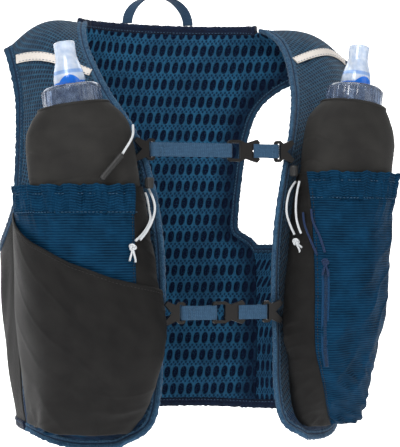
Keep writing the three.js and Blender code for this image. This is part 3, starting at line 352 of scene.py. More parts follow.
def creases(x, y, seed, wave, lean=0.0, spread=0.5):
    """Sharp narrow ridges where two sets of waves cross zero."""
    return np.exp(-((folds(x, y, seed, wave, lean, spread) * 2.2) ** 2))


# Meshes
def make_object(name, points, faces, cloth, finish, slot, body=BODY, replaces=()):
    mesh = bpy.data.meshes.new(name)
    mesh.from_pydata((np.asarray(points) * MM).tolist(), [], faces.tolist() if hasattr(faces, "tolist") else faces)
    mesh.validate()
    mesh.polygons.foreach_set("use_smooth", np.ones(len(mesh.polygons), bool))
    attribute = mesh.attributes.new("cloth", "FLOAT_VECTOR", "POINT")
    attribute.data.foreach_set("vector", np.asarray(cloth, np.float32).ravel())
    obj = bpy.data.objects.new(name, mesh)
    bpy.context.scene.collection.objects.link(obj)
    obj.data.materials.append(finish)
    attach(obj, body)
    if replaces:
        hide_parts(*replaces)
    return obj


def volume_sign(points, faces):
    quads = np.asarray(faces)
    a, b, c, d = (points[quads[:, k]] for k in range(4))
    return np.sign(np.sum(a * np.cross(b, c)) + np.sum(a * np.cross(c, d)))


def quads(here, after):
    return np.stack([here, np.roll(here, -1, 1), np.roll(after, -1, 1), after], -1).reshape(-1, 4)


def ring_mesh(rings, joined):
    """Points and outward faces of rings (count, sides, 3), which either join up or have capped ends."""
    index = np.arange(rings[..., 0].size).reshape(rings.shape[:2])
    flat = rings.reshape(-1, 3)
    faces = quads(index, np.roll(index, -1, 0)) if joined else quads(index[:-1], index[1:])
    sign = volume_sign(flat, faces)
    faces = (faces[:, ::-1] if sign < 0 else faces).tolist()
    if not joined:
        first, last = index[0].tolist(), index[-1].tolist()
        faces += [first, last[::-1]] if sign < 0 else [first[::-1], last]
    return flat, faces


def grid_normals(points, facing=1):
    across = np.gradient(points, axis=0)
    fall = np.gradient(points, axis=1)
    return square_to(fall, across) * facing


def arcs(points):
    return arc(points, 0), arc(points, 1)


def arc(points, axis):
    """How far along the grid each point is, from the grid's first row or column."""
    step = np.linalg.norm(np.diff(points, axis=axis), axis=-1)
    return np.insert(np.cumsum(step, axis=axis), 0, 0, axis=axis)


def wall(name, points, thick, finish, slot, relief=0, lining=0, facing=1, cloth=None, shade=0.0, **more):
    """A closed wall on a grid of points, with relief added on its outside and lining on its inside.

    cloth is the place in the weave, shade a value from 0 to 1 that the look uses in its own way."""
    rows, columns = points.shape[:2]
    normals = grid_normals(points, facing)
    if cloth is None:
        cloth = np.stack(arcs(points), -1)
    border = np.ones((rows, columns))
    border[[0, -1], :] = 0.55
    border[:, [0, -1]] = 0.55
    outside = points + normals * (thick / 2 * border + relief)[..., None]
    inside = points - normals * (thick / 2 * border + lining)[..., None]
    both = np.concatenate([outside.reshape(-1, 3), inside.reshape(-1, 3)])
    index = np.arange(rows * columns).reshape(rows, columns)
    a, b, c, d = index[:-1, :-1], index[1:, :-1], index[1:, 1:], index[:-1, 1:]
    front = np.stack([a, b, c, d], -1).reshape(-1, 4)
    back = np.stack([a, d, c, b], -1).reshape(-1, 4) + rows * columns
    ring = np.concatenate([index[:-1, 0], index[-1, :-1], index[:0:-1, -1], index[0, :0:-1]])
    after = np.roll(ring, -1)
    rim = np.stack([ring, ring + rows * columns, after + rows * columns, after], -1)
    faces = np.concatenate([front, back, rim])
    if volume_sign(both, faces) < 0:
        faces = faces[:, ::-1]
    flat = np.concatenate([cloth.reshape(-1, 2)] * 2)
    shades = np.tile(np.broadcast_to(shade, (rows, columns)).ravel(), 2)
    return make_object(name, both, faces, np.column_stack([flat, shades]), finish, slot, **more)


def sweep(name, points, out, up, section, finish, slot, closed=False, swell=None, **more):
    """A bar along frames, with a section of [out, up] corners, which swell moves outwards."""
    size = (len(points), len(section))
    across, rise = (np.ones(size) if swell is None else swell) * section.T[:, None]
    rings = points[:, None] + out[:, None] * across[..., None] + up[:, None] * rise[..., None]
    flat, faces = ring_mesh(rings, closed)
    steps = np.linalg.norm(np.diff(section, axis=0, append=section[:1]), axis=1)
    girth = np.insert(np.cumsum(steps), 0, 0)[:-1]
    cloth = np.stack([np.broadcast_to(part, size) for part in (girth, arc(points, 0)[:, None], section[:, 0])], -1)
    return make_object(name, flat, faces, cloth.reshape(-1, 3), finish, slot, **more)


def path_frames(points, up):
    tangent = tangents(points)
    out = square_to(tangent, up)
    return out, square_to(out, tangent)


def round_section(radius, sides):
    return radius * np.stack([np.cos(turns(sides)), np.sin(turns(sides))], -1)


def soft_section(half, thick, sides, power=0.55, groove=0.0):
    """A flattened oval, with a groove along the middle of both its faces."""
    wide, tall = (np.sign(t) * np.abs(t) ** power for t in (np.cos(turns(sides)), np.sin(turns(sides))))
    across = half * wide
    return np.stack([across, thick * tall * (1 - groove * np.exp(-(across / 1.1) ** 2))], -1)


def smoothed(vectors, width, closed=False):
    """Averages vectors over their neighbours along a path."""
    kernel = np.hanning(2 * width + 3)[1:-1]
    padded = np.pad(vectors, ((width, width), (0, 0)), "wrap" if closed else "edge")
    return np.stack([np.convolve(column, kernel / kernel.sum(), "valid") for column in padded.T], -1)


def even(points, others, spacing, closed=False):
    """Points and their vectors at even spacing along a path."""
    if closed:
        points = np.concatenate([points, points[:1]])
        others = [np.concatenate([o, o[:1]]) for o in others]
    run = arc(points, 0)
    count = int(run[-1] / spacing)
    places = np.linspace(0, run[-1], count, endpoint=not closed)
    return [sample(points, run, places)] + [unit(sample(o, run, places)) for o in others]


def lathe(name, corners, sides, place, finish, slot, wave=None, **more):
    """A body of revolution from closed [radius, height] corners, put in place by a function of points."""
    corners = np.asarray(corners, float)
    turn = turns(sides)
    radius, height = together(corners[:, :1] + 0 * turn, corners[:, 1:])
    if wave is not None:
        radius = radius + wave(corners[:, :1], corners[:, 1:], turn[None])
    flat, faces = ring_mesh(np.stack([radius * np.cos(turn), radius * np.sin(turn), height], -1), True)
    cloth = np.stack([radius * turn, height, 0 * radius + turn], -1)
    return make_object(name, place(flat), faces, cloth.reshape(-1, 3), finish, slot, **more)


def rounded(corners, radius, count=4):
    """Closed [radius, height] corners with each corner cut to a small arc."""
    corners = np.asarray(corners, float)
    made = []
    for k, corner in enumerate(corners):
        before, after = corners[k - 1], corners[(k + 1) % len(corners)]
        to_before, to_after = before - corner, after - corner
        cut = min(radius, np.linalg.norm(to_before) * 0.42, np.linalg.norm(to_after) * 0.42)
        first, last = corner + unit(to_before) * cut, corner + unit(to_after) * cut
        for t in np.linspace(0, 1, count):
            made.append(mix(mix(first, corner, t), mix(corner, last, t), t))
    return np.array(made)


STITCH_SIZES = np.array([0.55, 1, 1.05, 1, 0.55])
STITCH_HUMP = np.array([-1.2, 0.25, 0.6, 0.25, -1.2])


def stitches(name, points, up, finish, slot, length=2.1, gap=1.1, radius=0.28, **more):
    """A row of thread stitches on a surface, each a small hump that dives at both ends."""
    run = arc(points, 0)
    starts = np.arange(0.6, run[-1] - length, length + gap)
    section = round_section(1, 6)
    verts, faces, cloth = [], [], []
    for start in starts:
        places = start + np.linspace(0, length, 5)
        at, lift = sample(points, run, places), unit(sample(up, run, places))
        out = square_to(tangents(at), lift)
        at = at + lift * (radius * STITCH_HUMP)[:, None]
        size = (radius * STITCH_SIZES)[:, None, None]
        ring = at[:, None] + out[:, None] * (section[:, :1] * size) + lift[:, None] * (section[:, 1:] * size)
        index = np.arange(30).reshape(5, 6) + 30 * len(verts)
        verts.append(ring.reshape(-1, 3))
        faces += quads(index[:-1], index[1:])[:, ::-1].tolist() + [index[0].tolist(), index[-1].tolist()[::-1]]
        cloth.append(np.stack([np.tile(np.arange(6.0), 5), np.repeat(places, 6), np.zeros(30)], -1))
    return make_object(name, np.concatenate(verts), faces, np.concatenate(cloth), finish, slot, **more)


# Materials
def linear(code):
    channels = [int(code[k:k + 2], 16) / 255 for k in (1, 3, 5)]
    return tuple(c / 12.92 if c <= 0.04045 else ((c + 0.055) / 1.055) ** 2.4 for c in channels) + (1.0,)


class Look:
    """A material's node tree, with short words for its nodes."""

    def __init__(self, name, rough=0.8, sheen=0.0, gloss=0.2, tone=0.5, **values):
        self.material = bpy.data.materials.new(name)
        self.material.use_nodes = True
        self.tree = self.material.node_tree
        self.shader = self.tree.nodes["Principled BSDF"]
        self.tone = tone
        self.set("Roughness", rough)
        self.set("Specular IOR Level", gloss)
        if sheen:
            self.set("Sheen Weight", sheen)
            self.set("Sheen Roughness", 0.4)
        for key, value in values.items():
            self.set(key.replace("_", " "), value)
        attribute = self.tree.nodes.new("ShaderNodeAttribute")
        attribute.attribute_name = "cloth"
        split = self.tree.nodes.new("ShaderNodeSeparateXYZ")
        self.tree.links.new(attribute.outputs["Vector"], split.inputs[0])
        self.vector = attribute.outputs["Vector"]
        self.x, self.y, self.z = split.outputs

    def set(self, key, value):
        self.link(value, self.shader.inputs[key])

    def link(self, value, socket):
        if isinstance(value, bpy.types.NodeSocket):
            self.tree.links.new(value, socket)
        else:
            socket.default_value = value

    def math(self, operation, a, b=0.0, c=0.0):
        node = self.tree.nodes.new("ShaderNodeMath")
        node.operation = operation
        for value, socket in zip((a, b, c), node.inputs):
            self.link(value, socket)
        return node.outputs[0]

    def add(self, a, b):
        return self.math("ADD", a, b)

    def times(self, a, b):
        return self.math("MULTIPLY", a, b)

    def wave(self, value, period, phase=0.0):
        """A wave between 0 and 1."""
        turned = self.math("SINE", self.math("MULTIPLY_ADD", value, 2 * math.pi / period, phase))
        return self.math("MULTIPLY_ADD", turned, 0.5, 0.5)

    def noise(self, scale, detail=3.0, vector=None, stretch=None):
        node = self.tree.nodes.new("ShaderNodeTexNoise")
        node.inputs["Scale"].default_value = scale
        node.inputs["Detail"].default_value = detail
        vector = vector or self.vector
        if stretch:
            scaled = self.tree.nodes.new("ShaderNodeVectorMath")
            scaled.operation = "MULTIPLY"
            self.tree.links.new(vector, scaled.inputs[0])
            scaled.inputs[1].default_value = stretch
            vector = scaled.outputs[0]
        self.tree.links.new(vector, node.inputs["Vector"])
        return node.outputs[0]

    def range(self, value, low, high, to_low=0.0, to_high=1.0):
        node = self.tree.nodes.new("ShaderNodeMapRange")
        self.link(value, node.inputs["Value"])
        for key, number in (("From Min", low), ("From Max", high), ("To Min", to_low), ("To Max", to_high)):
            node.inputs[key].default_value = number
        return node.outputs[0]

    def blend(self, share, first, second):
        node = self.tree.nodes.new("ShaderNodeMix")
        node.data_type = "RGBA"
        self.link(share, node.inputs["Factor"])
        for value, key in ((first, 6), (second, 7)):
            self.link(self.shade(value), node.inputs[key])
        return node.outputs[2]

    def bump(self, height, distance, strength=1.0):
        node = self.tree.nodes.new("ShaderNodeBump")
        node.inputs["Distance"].default_value = distance * MM
        node.inputs["Strength"].default_value = strength
        self.tree.links.new(height, node.inputs["Height"])
        self.link(node.outputs[0], self.shader.inputs["Normal"])

    def colour(self, value):
        self.set("Base Color", self.shade(value))

    def shade(self, value):
        """A colour code as the shader needs it, or the socket as it is."""
        if not isinstance(value, str):
            return value
        return tuple(c * self.tone for c in linear(value)[:3]) + (1.0,)


def spacer_mesh():
    """Open spacer mesh: upright oval cells in rows, with small cells between, over a dark ground; a painted highlight
    lightens each large cell's rim, and the shade value darkens the mesh, partly as its navy edge colour and partly as
    painted shade.
    """
    look = Look("spacer_mesh", rough=0.85, gloss=0.08)
    hole = look.math("MINIMUM", 1.0, masks(look, LARGE_CELLS))
    pores = look.math("MINIMUM", 1.0, masks(look, SMALL_CELLS))
    knit = look.times(look.wave(look.x, 1.35), look.wave(look.y, 1.9))
    rough_hole = look.add(hole, look.times(look.noise(0.5, 2), 0.3))
    # rim is a ring round each large cell. Below, the ribs are lightened there towards #4f91b6: a painted highlight on
    # the cell rims.
    rim = look.times(look.range(rough_hole, 0.0, 0.35), look.range(hole, 0.75, 0.3))
    mottle = look.noise(0.03, 3)
    rib = look.blend(look.range(mottle, 0.38, 0.62), "#0d3a5f", "#1d5c86")
    rib = look.blend(look.times(knit, 0.3), rib, "#39749a")
    rib = look.blend(look.times(rim, 0.45), rib, "#4f91b6")
    rib = look.blend(look.times(pores, 0.85), rib, "#0a2444")
    inside = look.blend(look.range(look.noise(0.7, 2), 0.5, 0.72), "#04122f", "#1a4464")
    whole = look.blend(hole, rib, inside)
    # look.z is the shade value: it darkens the mesh towards #06142f, partly as the mesh's own navy edge colour and
    # partly as painted shade.
    look.colour(look.blend(look.times(look.z, 0.8), whole, "#06142f"))
    height = look.math("SUBTRACT", look.times(knit, 0.2), look.add(hole, look.times(pores, 0.5)))
    look.bump(height, 0.9, 0.8)
    return look.material


# The cells' period across and up, how far their columns lean, and each cell's place and half size
CELL_X, CELL_Y, SLANT = 8.3, 16.8, 0.16
LARGE_CELLS = [(0.0, 0.0, 3.05, 5.9)]
SMALL_CELLS = [(x, y, 1.0, 1.25) for x, y in ((0.12, 0.44), (0.62, 0.44), (0.37, 0.57), (0.87, 0.57))]


def masks(look, cells):
    total = 0.0
    for cell in cells:
        total = look.math("MAXIMUM", total, oval_mask(look, *cell))
    return total


def oval_mask(look, shift_x, shift_y, half_x, half_y):
    dx = cell_distance(look, look.math("MULTIPLY_ADD", look.y, SLANT, look.x), CELL_X, shift_x)
    dy = cell_distance(look, look.y, CELL_Y, shift_y)
    wide = look.math("POWER", look.times(dx, 1 / half_x), 2.0)
    tall = look.math("POWER", look.times(dy, 1 / half_y), 2.4)
    return look.range(look.add(wide, tall), 1.12, 0.72)


def cell_distance(look, value, period, shift):
    place = look.math("FRACT", look.math("MULTIPLY_ADD", value, 1 / period, 100.5 + shift))
    return look.times(look.math("ABSOLUTE", look.add(place, -0.5)), period)


def hole_relief(x, y):
    """The large cells of the look as hollows, from 0 to 1."""
    shift_x, shift_y, half_x, half_y = LARGE_CELLS[0]
    dx = np.abs(((x + SLANT * y) / CELL_X + 100.5 + shift_x) % 1 - 0.5) * CELL_X
    dy = np.abs((y / CELL_Y + 100.5 + shift_y) % 1 - 0.5) * CELL_Y
    return smooth((1.15 - (dx / half_x) ** 2 - (dy / half_y) ** 2.4) / 0.6)


def diamond_knit(name, low, high):
    look = Look(name, rough=0.85, sheen=0.08)
    a = look.math("MULTIPLY_ADD", look.x, 1 / 4.4, 50.0)
    b = look.times(look.y, 1 / 5.2)
    near = [look.math("ABSOLUTE", look.add(look.math("FRACT", turned), -0.5))
            for turned in (look.add(a, b), look.math("SUBTRACT", a, b))]
    cell = look.range(look.math("MINIMUM", *near), 0.05, 0.3)
    thread = look.wave(look.y, 1.1)
    mottle = look.noise(0.12, 3)
    base = look.blend(look.range(mottle, 0.3, 0.7), low, high)
    knit = look.blend(look.times(cell, 0.9), base, "#071630")
    look.colour(look.blend(look.z, knit, "#0c3558"))
    look.bump(look.add(look.times(cell, -1.0), look.times(thread, 0.2)), 0.7, 0.8)
    return look.material


def binding(name, base, light, dark, groove="#0b1a38"):
    """Soft folded tape: fuzzy pile, with a groove along its middle where it is sewn, darkened towards the groove colour
    with painted shade.
    """
    look = Look(name, rough=0.95, sheen=0.1)
    pile = look.noise(0.9, 4)
    drift = look.noise(0.14, 2)
    colour = look.blend(look.range(drift, 0.35, 0.65), base, dark)
    colour = look.blend(look.times(look.range(pile, 0.45, 0.75), 0.55), colour, light)
    # groove_share marks the groove along the tape's middle. The colour darkens there towards groove: painted shade in
    # the groove.
    groove_share = look.range(look.math("ABSOLUTE", look.add(look.z, 0.5)), 0.9, 0.35)
    look.colour(look.blend(look.times(groove_share, 0.75), colour, groove))
    look.bump(look.add(pile, look.times(groove_share, -1.2)), 0.5, 0.7)
    return look.material


def ripstop():
    look = Look("ripstop", rough=0.6, gloss=0.02, tone=0.2)
    rib = look.wave(look.y, 2.2)
    fine = look.wave(look.x, 0.9)
    drift = look.noise(0.05, 3)
    streak = look.noise(0.5, 3, stretch=(0.25, 1.6, 1))
    base = look.blend(look.range(drift, 0.35, 0.65), "#063055", "#15588a")
    # The ribs are lightened towards #3484b4: a painted highlight along each rib.
    base = look.blend(look.times(rib, 0.5), base, "#3484b4")
    look.colour(look.blend(look.range(streak, 0.45, 0.8, 0, 0.5), base, "#061f3a"))
    look.bump(look.add(rib, look.times(fine, 0.3)), 0.32, 0.8)
    return look.material


def stretch(name, base, light, rough=0.62):
    look = Look(name, rough=rough, gloss=0.1, tone=0.3)
    weave = look.times(look.wave(look.x, 0.8), look.wave(look.y, 0.8))
    drift = look.noise(0.06, 3)
    colour = look.blend(look.range(drift, 0.35, 0.7), base, light)
    look.colour(look.blend(look.times(weave, 0.15), colour, "#3a3938"))
    look.bump(look.add(weave, look.times(look.noise(0.35, 3), 1.5)), 0.15, 0.6)
    return look.material


def sleeve_cloth():
    look = Look("sleeve_cloth", rough=0.7, gloss=0.15)
    grain = look.noise(1.3, 3, stretch=(1.0, 1.6, 1))
    drift = look.noise(0.05, 2)
    colour = look.blend(look.range(drift, 0.35, 0.7), "#242322", "#31302e")
    look.colour(look.blend(look.range(grain, 0.5, 0.8, 0, 0.35), colour, "#3f3d3a"))
    look.bump(grain, 0.22, 0.7)
    return look.material


def webbing(name, base, light):
    look = Look(name, rough=0.75, sheen=0.08)
    warp = look.wave(look.z, 1.15)
    weft = look.wave(look.y, 1.7)
    diagonal = look.wave(look.add(look.y, look.times(look.z, 1.4)), 1.7)
    colour = look.blend(look.times(look.times(warp, diagonal), 0.8), base, light)
    look.colour(look.blend(look.range(look.noise(0.4, 2), 0.4, 0.7, 0, 0.5), colour, "#264763"))
    look.bump(look.add(look.times(warp, 0.6), look.times(weft, diagonal)), 0.35, 0.8)
    return look.material


def braid(name, base, dark, tone=0.5):
    look = Look(name, rough=0.7, sheen=0.05, tone=tone)
    one = look.wave(look.add(look.times(look.x, 1.6), look.y), 1.6)
    two = look.wave(look.math("SUBTRACT", look.times(look.x, 1.6), look.y), 1.6)
    strand = look.math("MAXIMUM", one, two)
    look.colour(look.blend(look.range(strand, 0.5, 1.0), dark, base))
    look.bump(strand, 0.25, 0.8)
    return look.material


def plain(name, base, light, rough, grain=0.7, depth=0.06, gloss=0.45):
    look = Look(name, rough=rough, gloss=gloss)
    cloud = look.noise(grain, 4, vector=object_place(look))
    look.colour(look.blend(look.range(cloud, 0.3, 0.75), base, light))
    look.bump(cloud, depth, 0.5)
    return look.material


def object_place(look):
    node = look.tree.nodes.new("ShaderNodeTexCoord")
    scaled = look.tree.nodes.new("ShaderNodeVectorMath")
    scaled.operation = "SCALE"
    scaled.inputs["Scale"].default_value = 1000
    look.tree.links.new(node.outputs["Object"], scaled.inputs[0])
    return scaled.outputs[0]


def reflective():
    look = Look("reflective_tape", rough=0.42, tone=0.8, Metallic=0.15)
    grain = look.noise(2.2, 2)
    cells = look.times(look.wave(look.z, 0.9), look.wave(look.y, 0.9))
    look.colour(look.blend(look.range(grain, 0.3, 0.7), "#b8b0a9", "#d9d3cd"))
    look.bump(cells, 0.12, 0.6)
    return look.material


def clear_plastic(name, base, rough, transmission, depth=0.05, light="#e4f0ff"):
    look = Look(name, rough=rough, gloss=0.5, tone=0.85)
    look.set("Transmission Weight", transmission)
    look.set("IOR", 1.46)
    cloud = look.noise(0.25, 2, vector=object_place(look))
    look.colour(look.blend(look.range(cloud, 0.3, 0.7), base, light))
    look.bump(cloud, depth, 0.4)
    return look.material


def valve_plastic(foot):
    """Frosted plastic; the blue cam shows through the foot of the skirt, with a paler ring above."""
    look = Look("frosted_valve", rough=0.16, gloss=0.5, tone=0.85, Transmission_Weight=0.5, IOR=1.46)
    front = look.range(look.wave(look.z, 2 * math.pi), 0.12, 0.0)
    crest = look.math("MULTIPLY_ADD", front, 5.2, foot + 2.8)
    cam = look.range(look.math("SUBTRACT", look.y, crest), 0.3, -0.3)
    ring = look.range(look.math("ABSOLUTE", look.add(look.y, -(foot + 11))), 2.0, 1.2)
    cloud = look.noise(0.25, 2, vector=object_place(look))
    base = look.blend(look.range(cloud, 0.3, 0.7), "#c3d5ee", "#e6effb")
    base = look.blend(look.times(ring, 0.6), base, "#4a97ea")
    look.colour(look.blend(cam, base, "#0f7df0"))
    look.bump(cloud, 0.05, 0.4)
    return look.material


LOOKS = {
    "mesh": spacer_mesh(),
    "knit": diamond_knit("diamond_knit", "#1f4560", "#356482"),
    "edge": binding("edge_binding", "#2f5878", "#6f97b4", "#1e4263"),
    "arm_edge": binding("arm_binding", "#17405e", "#47748f", "#0f2c49"),
    "dark_edge": binding("dark_binding", "#0c1c38", "#24446a", "#081329"),
    "ripstop": ripstop(),
    "stretch": stretch("stretch_cloth", "#1f1e1e", "#2c2b2a"),
    "gusset": stretch("gusset_cloth", "#1c1b1b", "#292827"),
    "sleeve": sleeve_cloth(),
    "web": webbing("strap_webbing", "#2d5071", "#54809f"),
    "loop": webbing("loop_webbing", "#23415f", "#44698a"),
    "white_cord": braid("white_cord", "#dfe1e2", "#9fa6ad", 0.8),
    "navy_cord": braid("navy_cord", "#24406b", "#0f2144"),
    "thread": braid("sewing_thread", "#5f86a4", "#2f5474"),
    "dark_thread": braid("dark_thread", "#3c3a3a", "#1c1a1a"),
    "plastic": plain("moulded_plastic", "#0f0c0b", "#1a1614", 0.32, gloss=0.25),
    "rubber": plain("black_rubber", "#101010", "#1c1c1c", 0.55),
    "zip": plain("zip_tape", "#0f3558", "#1b4d76", 0.8, grain=1.5, depth=0.2, gloss=0.12),
    "coil": plain("zip_coil", "#08213f", "#123a5e", 0.5, gloss=0.25),
    "reflective": reflective(),
    "clear": clear_plastic("clear_plastic", "#56698a", 0.12, 0.8, light="#93a6c2"),
    "bladder": clear_plastic("bladder_film", "#9fb4cc", 0.35, 0.5),
    "blue": plain("blue_cam", "#0f5fd0", "#2a80ea", 0.3),
}


def redress(node, finish):
    """Gives a solid that stays visible its look."""
    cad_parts[node].data.materials.clear()
    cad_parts[node].data.materials.append(LOOKS[finish])
    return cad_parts[node]


def both_sides():
    for name, sign in (("left", -1), ("right", 1)):
        yield name, sign, (mirror if sign < 0 else (lambda p: p))


def grid(surface, us, vs):
    u, v = np.meshgrid(us, vs, indexing="ij")
    return surface(u, v), u, v


# Back panel: spacer mesh seen from inside, with its cells as real hollows
points, u_grid, v_grid = grid(back_surface, np.linspace(-1, 1, 381), np.linspace(0.001, 1, 401))
across = arc(points[..., :2], 0)
to_edge = np.minimum(across - across[:1], across[-1:] - across)
MIDDLE = 190
across = across - across[MIDDLE]
drops = -points[..., 2]
held = np.clip(drops, drops[MIDDLE, 0], drops[MIDDLE, -1])
fall = np.interp(held, drops[MIDDLE], arc(points[MIDDLE], 0)) + drops - held
soft = folds(across, fall, 11, 90, 0.3, 0.6) * 0.8
cells = hole_relief(across, fall)
fade = smooth((1 - np.abs(u_grid)) / 0.03) * ends(v_grid, 0.02)
points = points + grid_normals(points, -1) * (soft * fade)[..., None]
# shade darkens the mesh within about 28 mm of the panel's edges: partly the navy edge band, partly painted shade.
wall("spacer_back", points, BACK_WALL, LOOKS["mesh"], "mesh_fabric", relief=-1.5 * cells * fade,
     lining=-1.3 * cells * fade, facing=-1, cloth=np.stack([across, fall], -1), shade=1 - smooth((to_edge - 2) / 26),
     replaces=["back_panel"])

# Front and side panels
for name, sign, turn in both_sides():
    points, u_grid, v_grid = grid(front_surface, np.linspace(0, 1, 90), np.linspace(0.0005, 1, 330))
    x, y = arcs(points)
    soft = folds(x, y, 21 + sign, 60, 0.4, 0.7) * 0.7 * smooth((v_grid - 0.1) / 0.1)
    soft *= ends(u_grid, 0.1)
    wall(f"{name}_strap", turn(points), PANEL, LOOKS["knit"], "mesh_fabric", relief=soft, lining=-soft,
         facing=sign, shade=smooth((v_grid - 0.88) / 0.04), replaces=[f"{name}_front_panel"])
    points, u_grid, v_grid = grid(side_surface, np.linspace(0, 1, 130), np.linspace(0, 1, 130))
    x, y = arcs(points)
    soft = folds(x, y, 31 + sign, 45, 0.1, 0.5) * np.sin(np.pi * u_grid)
    finish, slot = ("stretch", "stretch_fabric") if sign < 0 else ("mesh", "mesh_fabric")
    # On the right, where the side panel is mesh, its shade of 0.3 darkens it evenly: painted shade. The stretch look on
    # the left does not read it.
    wall(f"{name}_side", turn(points), PANEL, LOOKS[finish], slot, relief=soft, lining=-soft,
         facing=sign, cloth=np.stack([x * 1.7, y + 3.5], -1), shade=0.3, replaces=[f"{name}_side_panel"])


# Bindings
def bind(name, path, normals, side, thick, finish, node, turn, closed=False, seed=1):
    """Folded tape over an edge, on the given side of its path, with a row of stitches on both faces."""
    points, up = even(path, [normals], 1.0, closed)
    out = unit(smoothed(square_to(tangents(points, closed), up) * side, 7, closed))
    points = points + out * (BINDING_GAP + BINDING_WIDTH / 2 - 1.5)
    groove = 0.42 if finish == "edge" else 0.15
    section = soft_section(BINDING_WIDTH / 2 + 0.4, (thick + BINDING_BULK) / 2, 20, groove=groove)
    run, around = np.arange(len(points))[:, None] * 1.0, turns(20)[None]
    swell = 1 + 0.06 * folds(run, around * 3, seed, 9, 0.2, 0.4) + 0.05 * folds(run, around * 4, seed + 7, 4, 0, 0.5)
    sweep(name, turn(points), turn(out), turn(up), section, LOOKS[finish], BINDING_SLOTS[finish],
          closed=closed, swell=swell, replaces=[node])
    for label, face in (("outer", 1), ("inner", -1)):
        line = points - out * (BINDING_WIDTH * 0.28) + up * face * ((thick + BINDING_BULK) / 2 * 0.97)
        stitches(f"{name}_{label}_stitching", turn(line), turn(up) * face, LOOKS["thread"], BINDING_SLOTS[finish])


BINDING_SLOTS = {"edge": "webbing_blue", "arm_edge": "binding_fabric", "dark_edge": "binding_fabric"}


def surface_path(surface, u, v, facing=1):
    return surface(u, v), normal_of(surface, u, v, facing)


def joined(*paths):
    return [np.concatenate(parts) for parts in zip(*paths)]


front_path = joined(surface_path(front_surface, np.zeros(400), np.linspace(0.001, 0.999, 400)),
                    surface_path(front_surface, np.linspace(0.01, 0.99, 90), np.ones(90)))
arm_end = SIDE_TOP_FRONT - 2 * ARMHOLE_FLARE / HEIGHT
arm_path = joined(surface_path(front_surface, np.ones(220), np.linspace(0.001, arm_end, 220)),
                  surface_path(side_surface, np.linspace(0.01, 0.99, 80), np.zeros(80)),
                  surface_path(back_surface, np.ones(240), np.linspace(SIDE_TOP_BACK, 0.001, 240), -1))
for name, sign, turn in both_sides():
    bind(f"{name}_front_edge", *front_path, 1, PANEL, "edge", f"{name}_front_binding", turn, seed=41 + sign)
    bind(f"{name}_arm_edge", *arm_path, -1, PANEL, "arm_edge", f"{name}_armhole_binding", turn, True, seed=51 + sign)
neck_path = surface_path(back_surface, np.linspace(-NECK_REACH, NECK_REACH, 160), np.zeros(160), -1)
bind("neck_edge", *neck_path, 1, BACK_WALL, "dark_edge", "neck_binding", lambda p: p, seed=61)
right_hem = surface_path(side_surface, np.linspace(0.02, 0.98, 90), np.ones(90))
back_hem = surface_path(back_surface, np.linspace(0.99, -0.99, 220), np.ones(220), -1)
left_hem = [mirror(part)[::-1] for part in right_hem]
bind("hem_edge", *joined(right_hem, back_hem, left_hem), 1, BACK_WALL, "dark_edge", "hem_binding", lambda p: p, seed=71)

# Hanging loop of twisted webbing
neck_points, neck_up = neck_path
neck_out = square_to(neck_points[81] - neck_points[79], neck_up[80])
loop_foot = neck_points[80] + neck_out * (BINDING_GAP + BINDING_WIDTH / 2)
angle = np.linspace(0, np.pi, 120)
twist = math.radians(62) * np.cos(angle) * np.abs(np.cos(angle))
radial = np.stack([-np.cos(angle), 0 * angle, np.sin(angle)], -1)
sunk = 2.5
base = loop_foot[2] + BINDING_WIDTH / 2 + LOOP_THICK + SEAT_GAP - sunk
rise = base + (LOOP_RISE + sunk) * np.sin(angle)
loop_points = np.stack([-LOOP_SPAN * np.cos(angle), 0 * angle + loop_foot[1], rise], -1)
side_way = np.array([0.0, 1.0, 0.0])
loop_out = side_way * np.cos(twist)[:, None] + radial * np.sin(twist)[:, None]
loop_up = radial * np.cos(twist)[:, None] - side_way * np.sin(twist)[:, None]
sweep("hanging_loop", loop_points, loop_out, loop_up, soft_section(LOOP_WIDTH / 2, LOOP_THICK / 2, 28, 0.4),
      LOOKS["loop"], "webbing_blue", replaces=["hang_loop"])

# Reflective strips over the shoulder straps, from one row of the front panel to another
STRIPS = {"left": (3.1, 1.5), "right": (2.3, 0.9)}
for name, sign, turn in both_sides():
    first, last = STRIPS[name]
    us = np.linspace(0.02, 0.98, 110)
    place = mix(first, last, us) / (len(FRONT_ROWS) - 1)
    path, up = surface_path(front_surface, us, place)
    out, up = path_frames(path, up)
    path = path + up * (PANEL / 2 + STRIP_THICK / 2 + 0.5)
    sweep(f"{name}_reflector", turn(path), turn(out), turn(up), soft_section(STRIP_WIDTH / 2, STRIP_THICK / 2, 24, 0.3),
          LOOKS["reflective"], "reflective", replaces=[f"{name}_reflective_strip"])
    for label, edge in (("upper", 1), ("lower", -1)):
        line = path + out * edge * (STRIP_WIDTH / 2 - 1) + up * STRIP_THICK / 2
        stitches(f"{name}_reflector_{label}_stitching", turn(line), turn(up), LOOKS["thread"], "reflective")

# Pockets
# The share of the wall at which the gusset ends, and the mouth's drop; then the stitch rows from the mouth's ends
GUSSETS = {"left": 0.185, "right": 0.14}
POCKET_TOPS = {"left": 166.0, "right": 153.0}
HEM_ROW, FOOT_ROW = 6.5, 1.5


def pocket_wall(name, turn, sign, start, end, drops, across, finish, slot, relief, lip=None, **more):
    """A wall of the pocket between two shares of its width, each given as a function of the drop."""
    s, drop = np.meshgrid(np.linspace(0, 1, across), drops, indexing="ij")
    w = mix(start(drop), end(drop), s)
    points = pocket(w, drop if lip is None else drop + lip(w, drop))
    x, y = arcs(points)
    raised = relief(w, drop, x, y, s)
    return wall(name, turn(points), CLOTH, LOOKS[finish], slot, relief=raised, lining=-raised, facing=sign, **more)


